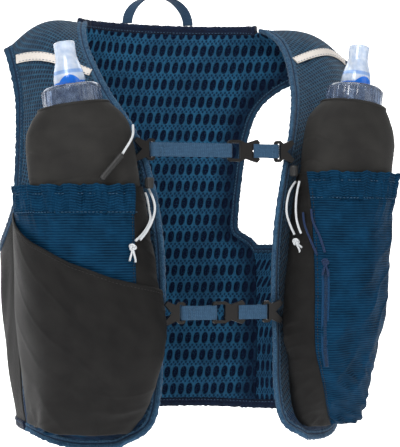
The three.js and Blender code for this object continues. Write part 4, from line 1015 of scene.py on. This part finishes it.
def ruffle(w, seed):
    """Uneven gathers along a drawn-in edge, between about -1 and 1."""
    rng = np.random.default_rng(seed)
    total = 0
    for count in (7, 11, 17, 29):
        phase, sway = rng.uniform(0, 2 * np.pi, 2)
        total = total + np.sin(2 * np.pi * count * w + phase + 1.6 * np.sin(6 * w + sway)) * (7 / count) ** 0.6
    return total / 1.9


def hem_roll(distance, width, height):
    """The rounded rise of a folded hem, at a distance from its edge."""
    return height * smooth(distance) * smooth((width - distance) / 1.2)


for name, sign, turn in both_sides():
    top, share = POCKET_TOPS[name], GUSSETS[name]
    band_foot = top + BAND_HEIGHT

    def seam_share(drop, share=share):
        return gusset_share(share, drop)

    def pocket_relief(w, drop, x, y, s, sign=sign, foot=band_foot):
        low = smooth((drop - 285) / 70)
        high = 1 - smooth((drop - foot) / 26)
        edge = ends(s, 0.06)
        gathers = np.maximum(ruffle(w + 0.0006 * y, 300 + sign), -0.4)
        soft = folds(x, y, 81 + sign, 46, 0.5, 0.9) + creases(x, y, 85 + sign, 52, 0.9, 0.8) * 0.9
        crush = folds(x, y, 91 + sign, 20, -0.6, 0.6) * 1.1 + creases(x, y, 95 + sign, 30, -0.9, 0.5) * 1.3
        return (soft + low * crush + high * gathers * 1.1) * edge

    def band_relief(w, drop, x, y, s, top=top, sign=sign):
        gathers = 0.9 + ruffle(w + 0.0006 * y, 300 + sign)
        fade = (1 - 0.45 * smooth((drop - top) / BAND_HEIGHT)) * ends(w, 0.1, 0.06)
        fine = creases(x, y * 0.3, 101 + int(top), 7, 0.0, 0.35) + 0.6 * folds(x, y * 0.3, 103, 4.5, 0, 0.3)
        tuck = -0.7 * sum(np.exp(-(((drop - top - row) / 0.8) ** 2)) for row in (HEM_ROW, BAND_HEIGHT - FOOT_ROW))
        return np.maximum(1.7 * gathers * fade, 0) + (0.6 * fine + tuck) * ends(s, 0.03)

    def mouth_lip(w, drop, top=top, sign=sign):
        return -(1.0 + 0.9 * ruffle(w, 300 + sign)) * (1 - smooth((drop - top) / (BAND_HEIGHT * 0.8)))

    def gusset_relief(w, drop, x, y, s, sign=sign):
        soft = folds(x, y, 111 + sign, 34, 1.2, 0.5) * 0.5 + creases(x, y, 113 + sign, 26, 1.3, 0.4) * 0.6
        return soft * np.sin(np.pi * s)

    pocket_wall(f"{name}_pocket_side", turn, sign, lambda d: 0 * d + 0.003, seam_share,
                np.linspace(top, POCKET_LAST, 190), 60, "gusset", "stretch_fabric", gusset_relief,
                replaces=[f"{name}_pocket_gusset"])
    for part, node, drops, across, relief, lip in (
            ("body", "bottle_pocket", np.linspace(band_foot - 0.6, POCKET_LAST, 230), 220, pocket_relief, None),
            ("mouth", "pocket_band", np.linspace(top, band_foot, 46), 360, band_relief, mouth_lip)):
        pocket_wall(f"{name}_pocket_{part}", turn, sign, seam_share, lambda d: 0 * d + 0.997, drops, across,
                    "ripstop", "ripstop_fabric", relief, lip=lip, replaces=[f"{name}_{node}"])
    # Seams
    ws = np.linspace(share + 0.02, 0.985, 260)
    for label, drop in (("hem", top + HEM_ROW), ("foot", band_foot - FOOT_ROW)):
        line, up = pocket(ws, 0 * ws + drop), pocket_normal(ws, 0 * ws + drop)
        line = line + up * (CLOTH / 2 + 0.9)
        stitches(f"{name}_mouth_{label}_stitching", turn(line), turn(up), LOOKS["thread"], "ripstop_fabric")
    ds = np.linspace(top + 3, POCKET_LAST - 4, 220)
    seam = seam_share(ds) + 0.012
    line, up = pocket(seam, ds), pocket_normal(seam, ds)
    line = line + up * (CLOTH / 2 + 0.5)
    stitches(f"{name}_seam_stitching", turn(line), turn(up), LOOKS["dark_thread"], "stretch_fabric")

# Stash pocket across the left one
# place round the wall, drop
STASH_MOUTH = np.array([(0.065, 255), (0.2, 250), (0.4, 241), (0.6, 228), (0.75, 212), (0.85, 197), (0.975, 178)])


def stash_mouth(s):
    return np.interp(s, STASH_MOUTH[:, 0], along(STASH_MOUTH, np.linspace(0, 1, 7))[:, 1])


def stash_room(s):
    return mix(STASH_ROOM_EDGE, STASH_ROOM, ends(s, 0.5, 0.35))


s_grid, t_grid = np.meshgrid(np.linspace(0.065, 0.915, 260), np.linspace(0, 1, 240), indexing="ij")
mouth = stash_mouth(s_grid)
drops = mix(mouth, POCKET_LAST - CLOTH * 3, t_grid)
s_grid = s_grid + 0.06 * smooth((s_grid - 0.7) / 0.215) * smooth(t_grid / 0.4)
s_grid = s_grid - 0.055 * (1 - smooth((s_grid - 0.065) / 0.3)) * smooth(t_grid / 0.5)
stash = pocket(s_grid, drops) + pocket_normal(s_grid, drops) * stash_room(s_grid)[..., None]
x, y = arcs(stash)
edge = smooth((s_grid - s_grid[:1]) / 0.06) * smooth((s_grid[-1:] - s_grid) / 0.06)
low = smooth((drops - 318) / 40)
relief = folds(x, y, 121, 75, 0.9, 0.6) * 0.7 + creases(x, y, 123, 80, 0.9, 0.4) * 0.3
relief = relief + low * (folds(x, y, 127, 30, -0.5, 0.6) * 0.5 + creases(x, y, 129, 46, -0.9, 0.3) * 0.9)
relief = relief * edge + hem_roll(drops - mouth, 3.2, 0.35)
wall("stash_front", mirror(stash), CLOTH, LOOKS["stretch"], "stretch_fabric", relief=relief, lining=-relief * 0.5,
     facing=-1, replaces=["stash_pocket"])
ws = np.linspace(0.08, 0.9, 260)
ds = stash_mouth(ws) + 3.6
line_up = pocket_normal(ws, ds)
line = pocket(ws, ds) + line_up * (stash_room(ws) + CLOTH / 2 + 0.35)[..., None]
stitches("stash_mouth_stitching", mirror(line), mirror(line_up), LOOKS["dark_thread"], "stretch_fabric")

# Flasks
RISES = {"left": -3.0, "right": 4.0}  # how far each flask stands up its axis
SLEEVE_HEIGHT = FLASK_LENGTH * SLEEVE_SHARE
CAP_FOOT = SLEEVE_HEIGHT + SEAT_GAP
CAP_TOP = CAP_FOOT + CAP_HEIGHT
CAM_FOOT = CAP_TOP + SEAT_GAP
STEM, DRINK_HOLE = 4.0, 2.4
FROSTED = valve_plastic(CAM_FOOT)


def rotation(sign):
    spins = [Matrix.Rotation(angle, 3, axis) for angle, axis in ((-PITCH, "X"), (sign * LEAN, "Y"), (sign * YAW, "Z"))]
    return np.array(spins[0]) @ np.array(spins[1]) @ np.array(spins[2])


def flask_place(name, sign):
    foot = SEAT + FLASK_AXIS * RISES[name]
    turned = rotation(sign)
    return lambda p: p @ turned.T + foot * np.array([sign, 1, 1])


def sleeve_points(name, sides=144, rings=240):
    rises = np.linspace(0, 1, rings)
    index = np.interp(rises, SLEEVE_ROWS[:, 0], np.linspace(0, 1, len(SLEEVE_ROWS)))
    width, depth = np.moveaxis(along(SLEEVE_ROWS[:, 1:], index), -1, 0)
    turn, rises = turns(sides), rises[:, None]
    x = (FLASK_WIDTH / 2 * width)[:, None] * np.cos(turn)
    y = (FLASK_DEPTH / 2 * depth)[:, None] * np.sin(turn)
    height = rises * SLEEVE_HEIGHT + 0 * turn
    sway = 0.5 * np.sin(2 * turn + len(name)) + 0.3 * np.sin(5 * turn)
    crease = np.exp(-((np.sin(np.pi * height / 21 + sway)) / 0.16) ** 2)
    inward = -0.28 * crease * smooth((rises - 0.1) / 0.1) * smooth((0.93 - rises) / 0.05)
    soft = folds(turn * 40, height, 141 + len(name), 44, 1.4, 0.5) * 0.5
    growth = 1 + (inward + soft * smooth((1 - rises) / 0.06)) / np.hypot(x, y)
    return np.stack([x * growth, y * growth, height], -1), turn


for name, sign, turn in both_sides():
    place = flask_place(name, sign)
    outer, round_turn = sleeve_points(name)
    inner = outer[::-1].copy()
    shrink = 1 - 2.0 / np.hypot(inner[..., 0], inner[..., 1])
    inner[..., :2] *= shrink[..., None]
    inner[..., 2] = np.maximum(inner[..., 2], 2.0)
    lip = outer[-1:] * np.array([0.985, 0.985, 1]) + np.array([0, 0, 0.25])
    rings = np.concatenate([outer, lip, inner])
    flat, faces = ring_mesh(rings, False)
    around = np.broadcast_to(round_turn * 38, rings.shape[:2])
    cloth = np.stack([around, rings[..., 2], 0 * around], -1).reshape(-1, 3)
    make_object(f"{name}_sleeve", place(flat), faces, cloth, LOOKS["sleeve"], "sleeve_fabric",
                replaces=[f"{name}_flask_sleeve"])
    # A bound rim at the sleeve's mouth
    rim_points = sample(np.append(outer[-1], outer[-1][:1], 0), np.append(round_turn, 2 * np.pi), turns(140))
    rim_points[:, :2] *= 0.985
    rim_up = np.tile([0.0, 0.0, 1.0], (140, 1))
    rim_out = square_to(tangents(rim_points, True), rim_up)
    turned = rotation(sign)
    sweep(f"{name}_sleeve_rim", place(rim_points), rim_out @ turned.T, rim_up @ turned.T, round_section(1.3, 10),
          LOOKS["sleeve"], "sleeve_fabric", closed=True)
    inside, shelf, spout = NECK_RADIUS + 2 * SEAM_GAP, CAP_TOP - 2.2, CAP_TOP + CAM_HEIGHT
    cap = rounded([
        [inside, CAP_FOOT], [CAP_RADIUS, CAP_FOOT], [CAP_RADIUS, CAP_TOP - 3], [CAP_RADIUS - 2.5, CAP_TOP],
        [STEM, CAP_TOP], [STEM, spout], [DRINK_HOLE, spout], [DRINK_HOLE, shelf], [inside, shelf],
    ], 1.1, 5)

    def ridges(radius, height, turn_round):
        outside = (radius > CAP_RADIUS - 1.2) & (height > CAP_FOOT + 1.2) & (height < CAP_TOP - 2.6)
        return np.where(outside, -1.0 * (1 - np.exp(-((np.sin(turn_round * 12)) / 0.3) ** 2)), 0)

    lathe(f"{name}_cap", cap, 280, place, LOOKS["clear"], "flask_clear", wave=ridges, replaces=[f"{name}_flask_cap"])
    redress(f"{name}_flask_bladder", "bladder")
    # The wave cam
    around = turns(120)
    crest = CAM_FOOT + CAM_HEIGHT * (0.35 + 0.65 * (0.5 - 0.5 * np.cos(2 * around)) ** 2)
    foot, bore = 0 * crest + CAM_FOOT, STEM + SEAT_GAP
    profile = [(bore, foot), (CAM_RADIUS - 0.3, foot), (CAM_RADIUS, foot + 0.3), (CAM_RADIUS, crest - 0.4),
               (CAM_RADIUS - 0.4, crest), (bore + 0.3, crest), (bore, crest - 0.3)]
    rings = [np.stack([r * np.cos(around), r * np.sin(around), h], -1) for r, h in profile]
    flat, faces = ring_mesh(np.stack(rings), True)
    make_object(f"{name}_cam", place(flat), faces, flat, LOOKS["blue"], "valve_blue", replaces=[f"{name}_valve_cam"])
    # The mouthpiece
    skirt, roof = CAM_RADIUS + 2 * SEAT_GAP, CAP_TOP + CAM_HEIGHT + 2.2 - CAM_FOOT
    under, hollow = VALVE_HEIGHT - VALVE_WALL, VALVE_TOP - VALVE_WALL
    mouth_corners = rounded(np.array([0, CAM_FOOT]) + np.array([
        [skirt, 0], [VALVE_BASE, 0], [VALVE_BASE + 0.4, 5], [VALVE_BASE - 1, 13], [VALVE_TOP + 1, 20], [VALVE_TOP, 24],
        [VALVE_TOP + 0.2, VALVE_HEIGHT - 1], [VALVE_TOP - 1, VALVE_HEIGHT], [DRINK_HOLE, VALVE_HEIGHT],
        [DRINK_HOLE, under], [hollow, under], [hollow, 21], [DRINK_HOLE, roof + VALVE_WALL], [DRINK_HOLE, roof],
        [skirt, roof],
    ]), 2.2, 6)
    lathe(f"{name}_valve_top", mouth_corners, 96, place, FROSTED, "valve_frosted", body=f"{name}_valve",
          replaces=[f"{name}_mouthpiece"])

# Chest straps: moulded clips keep their solids, with softened edges; the webbing is swept
# drop, then where the left hook, the buckle and the right hook stand, as shares of half the gap
STRAPS = {"upper": (134.0, -1.19, 0.13, 0.81), "lower": (272.0, -1.09, -0.18, 0.79)}
HOOK, BUCKLE = (5.0, 4.5, 8.5), (11.0, 9.0, 9.0)
STITCH_ROWS = {"upper": (5.5, 8.5), "lower": (4.5, 8)}


def web_path(bar_a, bar_b, tail, flat_end=False):
    """A strap's way from its folded end round bar_a to bar_b, where it folds back too, or else ends flat."""
    reach = CLIP_THICK / 2 + SEAT_GAP + WEB_THICK / 2
    turn = np.linspace(np.pi / 2, 3 * np.pi / 2, 14)

    def fold(bar, way):
        centre = bar - way * (CLIP_BAR / 2 + SEAT_GAP - reach + WEB_THICK / 2 + 1.2)
        loop = np.stack([centre + way * reach * 0.55 * np.cos(turn), reach * np.sin(turn)], -1)
        return np.concatenate([[[bar + way * tail, reach], [bar + way * tail * 0.5, reach]], loop])
    end = np.array([[bar_b, -reach]]) if flat_end else fold(bar_b, -1)[::-1]
    return np.concatenate([fold(bar_a, 1), end])


for strap, (drop, left_clip, buckle, right_clip) in STRAPS.items():
    place = np.array([at_drop(0.0, drop)])
    edge_at = front_surface(np.zeros(1), place)[0]
    inward = unit(front_surface(np.full(1, 0.05), place)[0] - edge_at)
    half_gap = edge_at[0] - BINDING_WIDTH
    binding_face = (PANEL + BINDING_BULK) / 2
    level = edge_at[1] - inward[1] * (BINDING_GAP + BINDING_WIDTH) - binding_face - 5.5 * SEAT_GAP - CLIP_THICK / 2
    bar_left = left_clip * half_gap + sum(HOOK) - CLIP_BAR / 2
    bar_buckle = buckle * half_gap + CLIP_BAR / 2
    bar_right = right_clip * half_gap + CLIP_BAR / 2
    fork_end = buckle * half_gap + BUCKLE[0] + BUCKLE[1] + BUCKLE[2] * 0.2
    short = web_path(-bar_right, -fork_end, 6, True) * np.array([-1, 1])
    for label, flat_path in (("web", web_path(bar_left, bar_buckle, 7)), ("short_web", short)):
        path = np.insert(flat_path + np.array([0, level]), 2, -drop, axis=1)
        run = arc(path, 0)
        path = smoothed(sample(path, run, np.arange(0, run[-1], 0.8)), 2)
        path[:, 1] += 0.35 * np.sin(path[:, 0] / 9.0) * np.sin(np.pi * np.linspace(0, 1, len(path)))
        across = np.tile([0.0, 0.0, 1.0], (len(path), 1))
        up = square_to(tangents(path), across)
        sweep(f"{strap}_{label}", path, across, up, soft_section(WEB_WIDTH / 2, WEB_THICK / 2, 30, 0.35),
              LOOKS["web"], "webbing_blue", replaces=[f"{strap}_{label}bing"])
    front_y = level - (CLIP_THICK / 2 + SEAT_GAP + WEB_THICK) - 0.15
    zs = np.linspace(-WEB_WIDTH / 2 + 0.8, WEB_WIDTH / 2 - 0.8, 20)
    for k, x_at in enumerate([bar_left + row for row in STITCH_ROWS[strap]] + [bar_right - 4.5]):
        line = np.stack([0 * zs + x_at, 0 * zs + front_y, zs - drop], -1)
        stitches(f"{strap}_web_stitching_{k}", line, np.tile([0.0, -1.0, 0.0], (20, 1)), LOOKS["thread"],
                 "webbing_blue", length=1.5, gap=0.7, radius=0.3)
    for part in ("left_hook", "buckle", "right_hook"):
        bevel = redress(f"{strap}_{part}", "plastic").modifiers.new("edges", "BEVEL")
        bevel.width = 0.7 * MM
        bevel.segments = 3
        bevel.limit_method = "ANGLE"

# Zip on the right pocket
zip_wide = ZIP_WIDTH / (np.pi * FLASK_WIDTH * 0.7)
zip_share = GUSSETS["right"] + ZIP_OFFSET
REST_LIFT = CLOTH / 2 + 3.2 * SEAT_GAP
drops = np.linspace(ZIP_TOP, ZIP_BOTTOM, 90)
s, d = np.meshgrid(np.linspace(0, 1, 15), drops, indexing="ij")
w = gusset_share(zip_share, d) + zip_wide * (s - 0.5)
zip_points = pocket(w, d) + pocket_normal(w, d) * (REST_LIFT - 0.4)
wall("zip_tape", zip_points, 1.2, LOOKS["zip"], "trim_rubber", relief=0.25 * np.sin(np.pi * s) ** 6, replaces=["zip"])
middle = gusset_share(zip_share, drops)
line, line_up = pocket(middle, drops), pocket_normal(middle, drops)
line = line + line_up * (REST_LIFT + 0.5)
line_across = square_to(np.gradient(line, axis=0), line_up)
run, ring = arc(line, 0), round_section(1, 8)
reach, sizes = np.array([[-1.5, -1.1, 0, 1.1, 1.5], [0.25, 0.55, 0.6, 0.55, 0.25]])[..., None, None]
verts, faces = [], []
for k, place in enumerate(np.arange(1, run[-1] - 1, 1.5)):
    at, way, lift = (sample(table, run, place) for table in (line, line_across, line_up))
    way, lift = unit(way), unit(lift)
    rings = at + way * reach + (np.cross(way, lift) * ring[:, :1] + lift * ring[:, 1:])[None] * sizes
    index = np.arange(40).reshape(5, 8) + 40 * k
    verts.append(rings.reshape(-1, 3))
    faces += quads(index[:-1], index[1:]).tolist() + [index[0].tolist()[::-1], index[-1].tolist()]
verts = np.concatenate(verts)
make_object("zip_teeth", verts, faces, verts, LOOKS["coil"], "trim_rubber")

# Free cords, with the routes' points as in the part: place round the wall, drop, rise in cord diameters
CORDS = {
    "left_drawcord_a": (-1, [(.08, 171, 0), (.1, 177, 0), (.1, 185, 0), (.135, 194, 0), (.2, 204, 0), (.25, 211, 0)]),
    "left_drawcord_b": (-1, [(.1, 168, 1.2), (.12, 176, 2.4), (.125, 184, 2.6), (.15, 193, 1.8),
                             (.195, 203, 1.3), (.235, 210, 1.2)]),
    "right_drawcord_a": (1, [(.08, 160, 0), (.088, 168, 2.6), (.092, 178, 3.7), (.095, 188, 3.3),
                             (.105, 198, 1.6), (.122, 206, .3)]),
    "right_drawcord_b": (1, [(.11, 160, 0), (.112, 169, .9), (.116, 179, 1.3), (.125, 191, 1.1),
                             (.14, 200, .7), (.152, 205, .4)]),
    "zip_cord_a": (1, [(.145, 187, 0), (.16, 198, 0), (.195, 212, 0), (.225, 223, 0)]),
    "zip_cord_b": (1, [(.175, 184, 0), (.19, 195, 0), (.225, 208, 0), (.255, 221, 0)]),
}
# side, place round the wall, drop; then how far each tail reaches across and down
KNOTS = {"left_drawcord": (-1, 0.275, 216, [(-2.5, -11), (2.5, -12)]),
         "right_drawcord": (1, 0.14, 212, [(3.5, -9), (7, -7)]),
         "zip_cord": (1, 0.262, 229, [(-2.5, -11), (2.5, -12)])}
LOCKS = {"left_drawcord": (-1, 0.125, 163), "right_drawcord": (1, 0.095, 151)}


def on_pocket(sign, across, drop, lift):
    at, held = np.array([across], float), np.array([np.clip(drop, POCKET_TOP, POCKET_LAST)], float)
    point = (pocket(at, held) + pocket_normal(at, held) * lift)[0]
    point[2] = -drop
    return point * np.array([sign, 1, 1])


def tube(name, route, radius, finish, slot, sides=12, spacing=0.7, **more):
    dense = along(route, np.linspace(0, 1, 200))
    run = arc(dense, 0)
    path = sample(dense, run, np.linspace(0, run[-1], max(int(run[-1] / spacing), 8)))
    out, up = path_frames(path, np.tile([0.0, -1.0, 0.15], (len(path), 1)))
    return sweep(name, path, out, up, round_section(radius, sides), finish, slot, **more), path


def cord_finish(group):
    colour = "navy" if group == "zip_cord" else "white"
    return LOOKS[f"{colour}_cord"], f"cord_{colour}"


def knot_with_tails(name, centre, tails):
    """An overhand knot of the same cord, with its two ends hanging below."""
    t = turns(140)
    wide = 2 + np.cos(3 * t)
    points = np.stack([wide * np.cos(2 * t) * 0.85, np.sin(3 * t) * 1.25, wide * np.sin(2 * t) * 0.75], -1) + centre
    tangent = tangents(points, True)
    up = square_to(tangent, unit(points - centre))
    made = [sweep(f"{name}_knot_turns", points, square_to(tangent, up), up, round_section(CORD / 2 * 0.95, 10),
                  *cord_finish(name), closed=True, replaces=[f"{name}_knot"])]
    for k, (dx, dz) in enumerate(tails):
        route = centre + np.array([(0, 0, 0), (dx * 0.3, -0.5, dz * 0.35), (dx * 0.8, -0.8, dz * 0.75), (dx, 0.1, dz)])
        made.append(tube(f"{name}_tail_{k}", route, CORD / 2 * 0.85, *cord_finish(name))[0])
    return made


TOGGLE = rounded([[1.0, -4.6], [3.2, -4.6], [3.7, -3.2], [3.7, 3.2], [3.2, 4.6], [1.0, 4.6]], 0.8, 5)


def toggle_grooves(radius, height, turn_round):
    return np.where((radius > 3) & (np.abs(height) < 3.4), -0.35 * (np.cos(turn_round * 10) > 0.3), 0)


knot_pieces = {name: knot_with_tails(name, on_pocket(sign, across, drop, REST_LIFT + 3.2), tails)
               for name, (sign, across, drop, tails) in KNOTS.items()}
for name, (sign, rows) in CORDS.items():
    group = name[:-2]
    route = np.array([on_pocket(sign, across, drop, REST_LIFT + CORD * (away + 0.5)) for across, drop, away in rows])
    obj, path = tube(f"{name}_strand", route, CORD / 2, *cord_finish(group), replaces=[name])
for name, (sign, across, drop) in LOCKS.items():
    centre = on_pocket(sign, across, drop, REST_LIFT + GATHER_DEPTH + 3.6)
    lathe(f"{name}_toggle", TOGGLE, 80, lambda p, c=centre: p + c, LOOKS["rubber"], "trim_rubber",
          wave=toggle_grooves, replaces=[f"{name}_lock"])

# Zip pull in front of the left flask
PULL = [(-0.492, 1.125, 0.302), (-0.515, 1.235, 0.33), (-0.583, 1.335, 0.368), (-0.705, 1.398, 0.424)]
pull = np.array(PULL) * FRONT_SCALE
tube("pull_cord", pull[:3], CORD / 2, LOOKS["white_cord"], "cord_white", replaces=["zip_pull_cord"])
foot = mix(pull[2], pull[3], 0.04)
grip_length = np.linalg.norm(pull[3] - foot)
spots = np.linspace(0, 1, 60)
grip_path = foot + (pull[3] - foot) * spots[:, None]
out, up = path_frames(grip_path, np.tile([0.0, -1.0, 0.0], (60, 1)))
ends = np.minimum(spots, 1 - spots) * grip_length
profile = 0.55 + 0.45 * np.sqrt(clip01(ends / 1.6)) + 0.06 * (np.sin(spots * np.pi * 14) > 0.6) * (spots < 0.45)
sweep("pull_grip", grip_path, out, up, round_section(2.5, 20), LOOKS["rubber"], "trim_rubber",
      swell=np.repeat(profile[:, None], 20, 1), replaces=["zip_pull_tube"])

# Studio
LIGHTS = {  # place, size, power
    "key": ((-1.0, -1.4, 1.0), 0.8, 34),
    "fill": ((1.4, -1.4, 0.1), 1.4, 9),
    "top": ((0, -0.2, 1.4), 1.2, 12),
    "back": ((0.2, 1.6, 0.3), 1.5, 8),
}
MIDDLE_OF_VEST = Vector((0, 0, -0.2))
for name, (place, size, power) in LIGHTS.items():
    light = bpy.data.objects.new(name, bpy.data.lights.new(name, "AREA"))
    bpy.context.scene.collection.objects.link(light)
    light.location = place
    light.rotation_mode = "QUATERNION"
    light.rotation_quaternion = (MIDDLE_OF_VEST - light.location).to_track_quat("-Z", "Y")
    light.data.size = size
    light.data.energy = power
world = bpy.data.worlds.new("studio")
bpy.context.scene.world = world
world.use_nodes = True
sky = world.node_tree.nodes["Background"]
sky.inputs["Color"].default_value = (1, 1, 1, 1)
sky.inputs["Strength"].default_value = 0.5
bpy.context.scene.view_settings.view_transform = "Standard"
# A pale floor that runs on into a wall behind
FLOOR, WALL_AT, REACH, RISE = -0.46, 2.4, 5.0, 3.0
floor_mesh = bpy.data.meshes.new("floor")
corners = [(x, y, z) for y, z in ((-REACH, FLOOR), (WALL_AT, FLOOR), (WALL_AT, RISE)) for x in (-REACH, REACH)]
floor_mesh.from_pydata(corners, [], [(0, 1, 3, 2), (2, 3, 5, 4)])
floor = bpy.data.objects.new("floor", floor_mesh)
bpy.context.scene.collection.objects.link(floor)
floor_look = Look("pale_floor", rough=0.7, tone=1.0)
floor_look.colour("#fafafa")
floor_look.set("Emission Color", (1.0, 1.0, 1.0, 1.0))
floor_look.set("Emission Strength", 0.75)
floor_mesh.materials.append(floor_look.material)
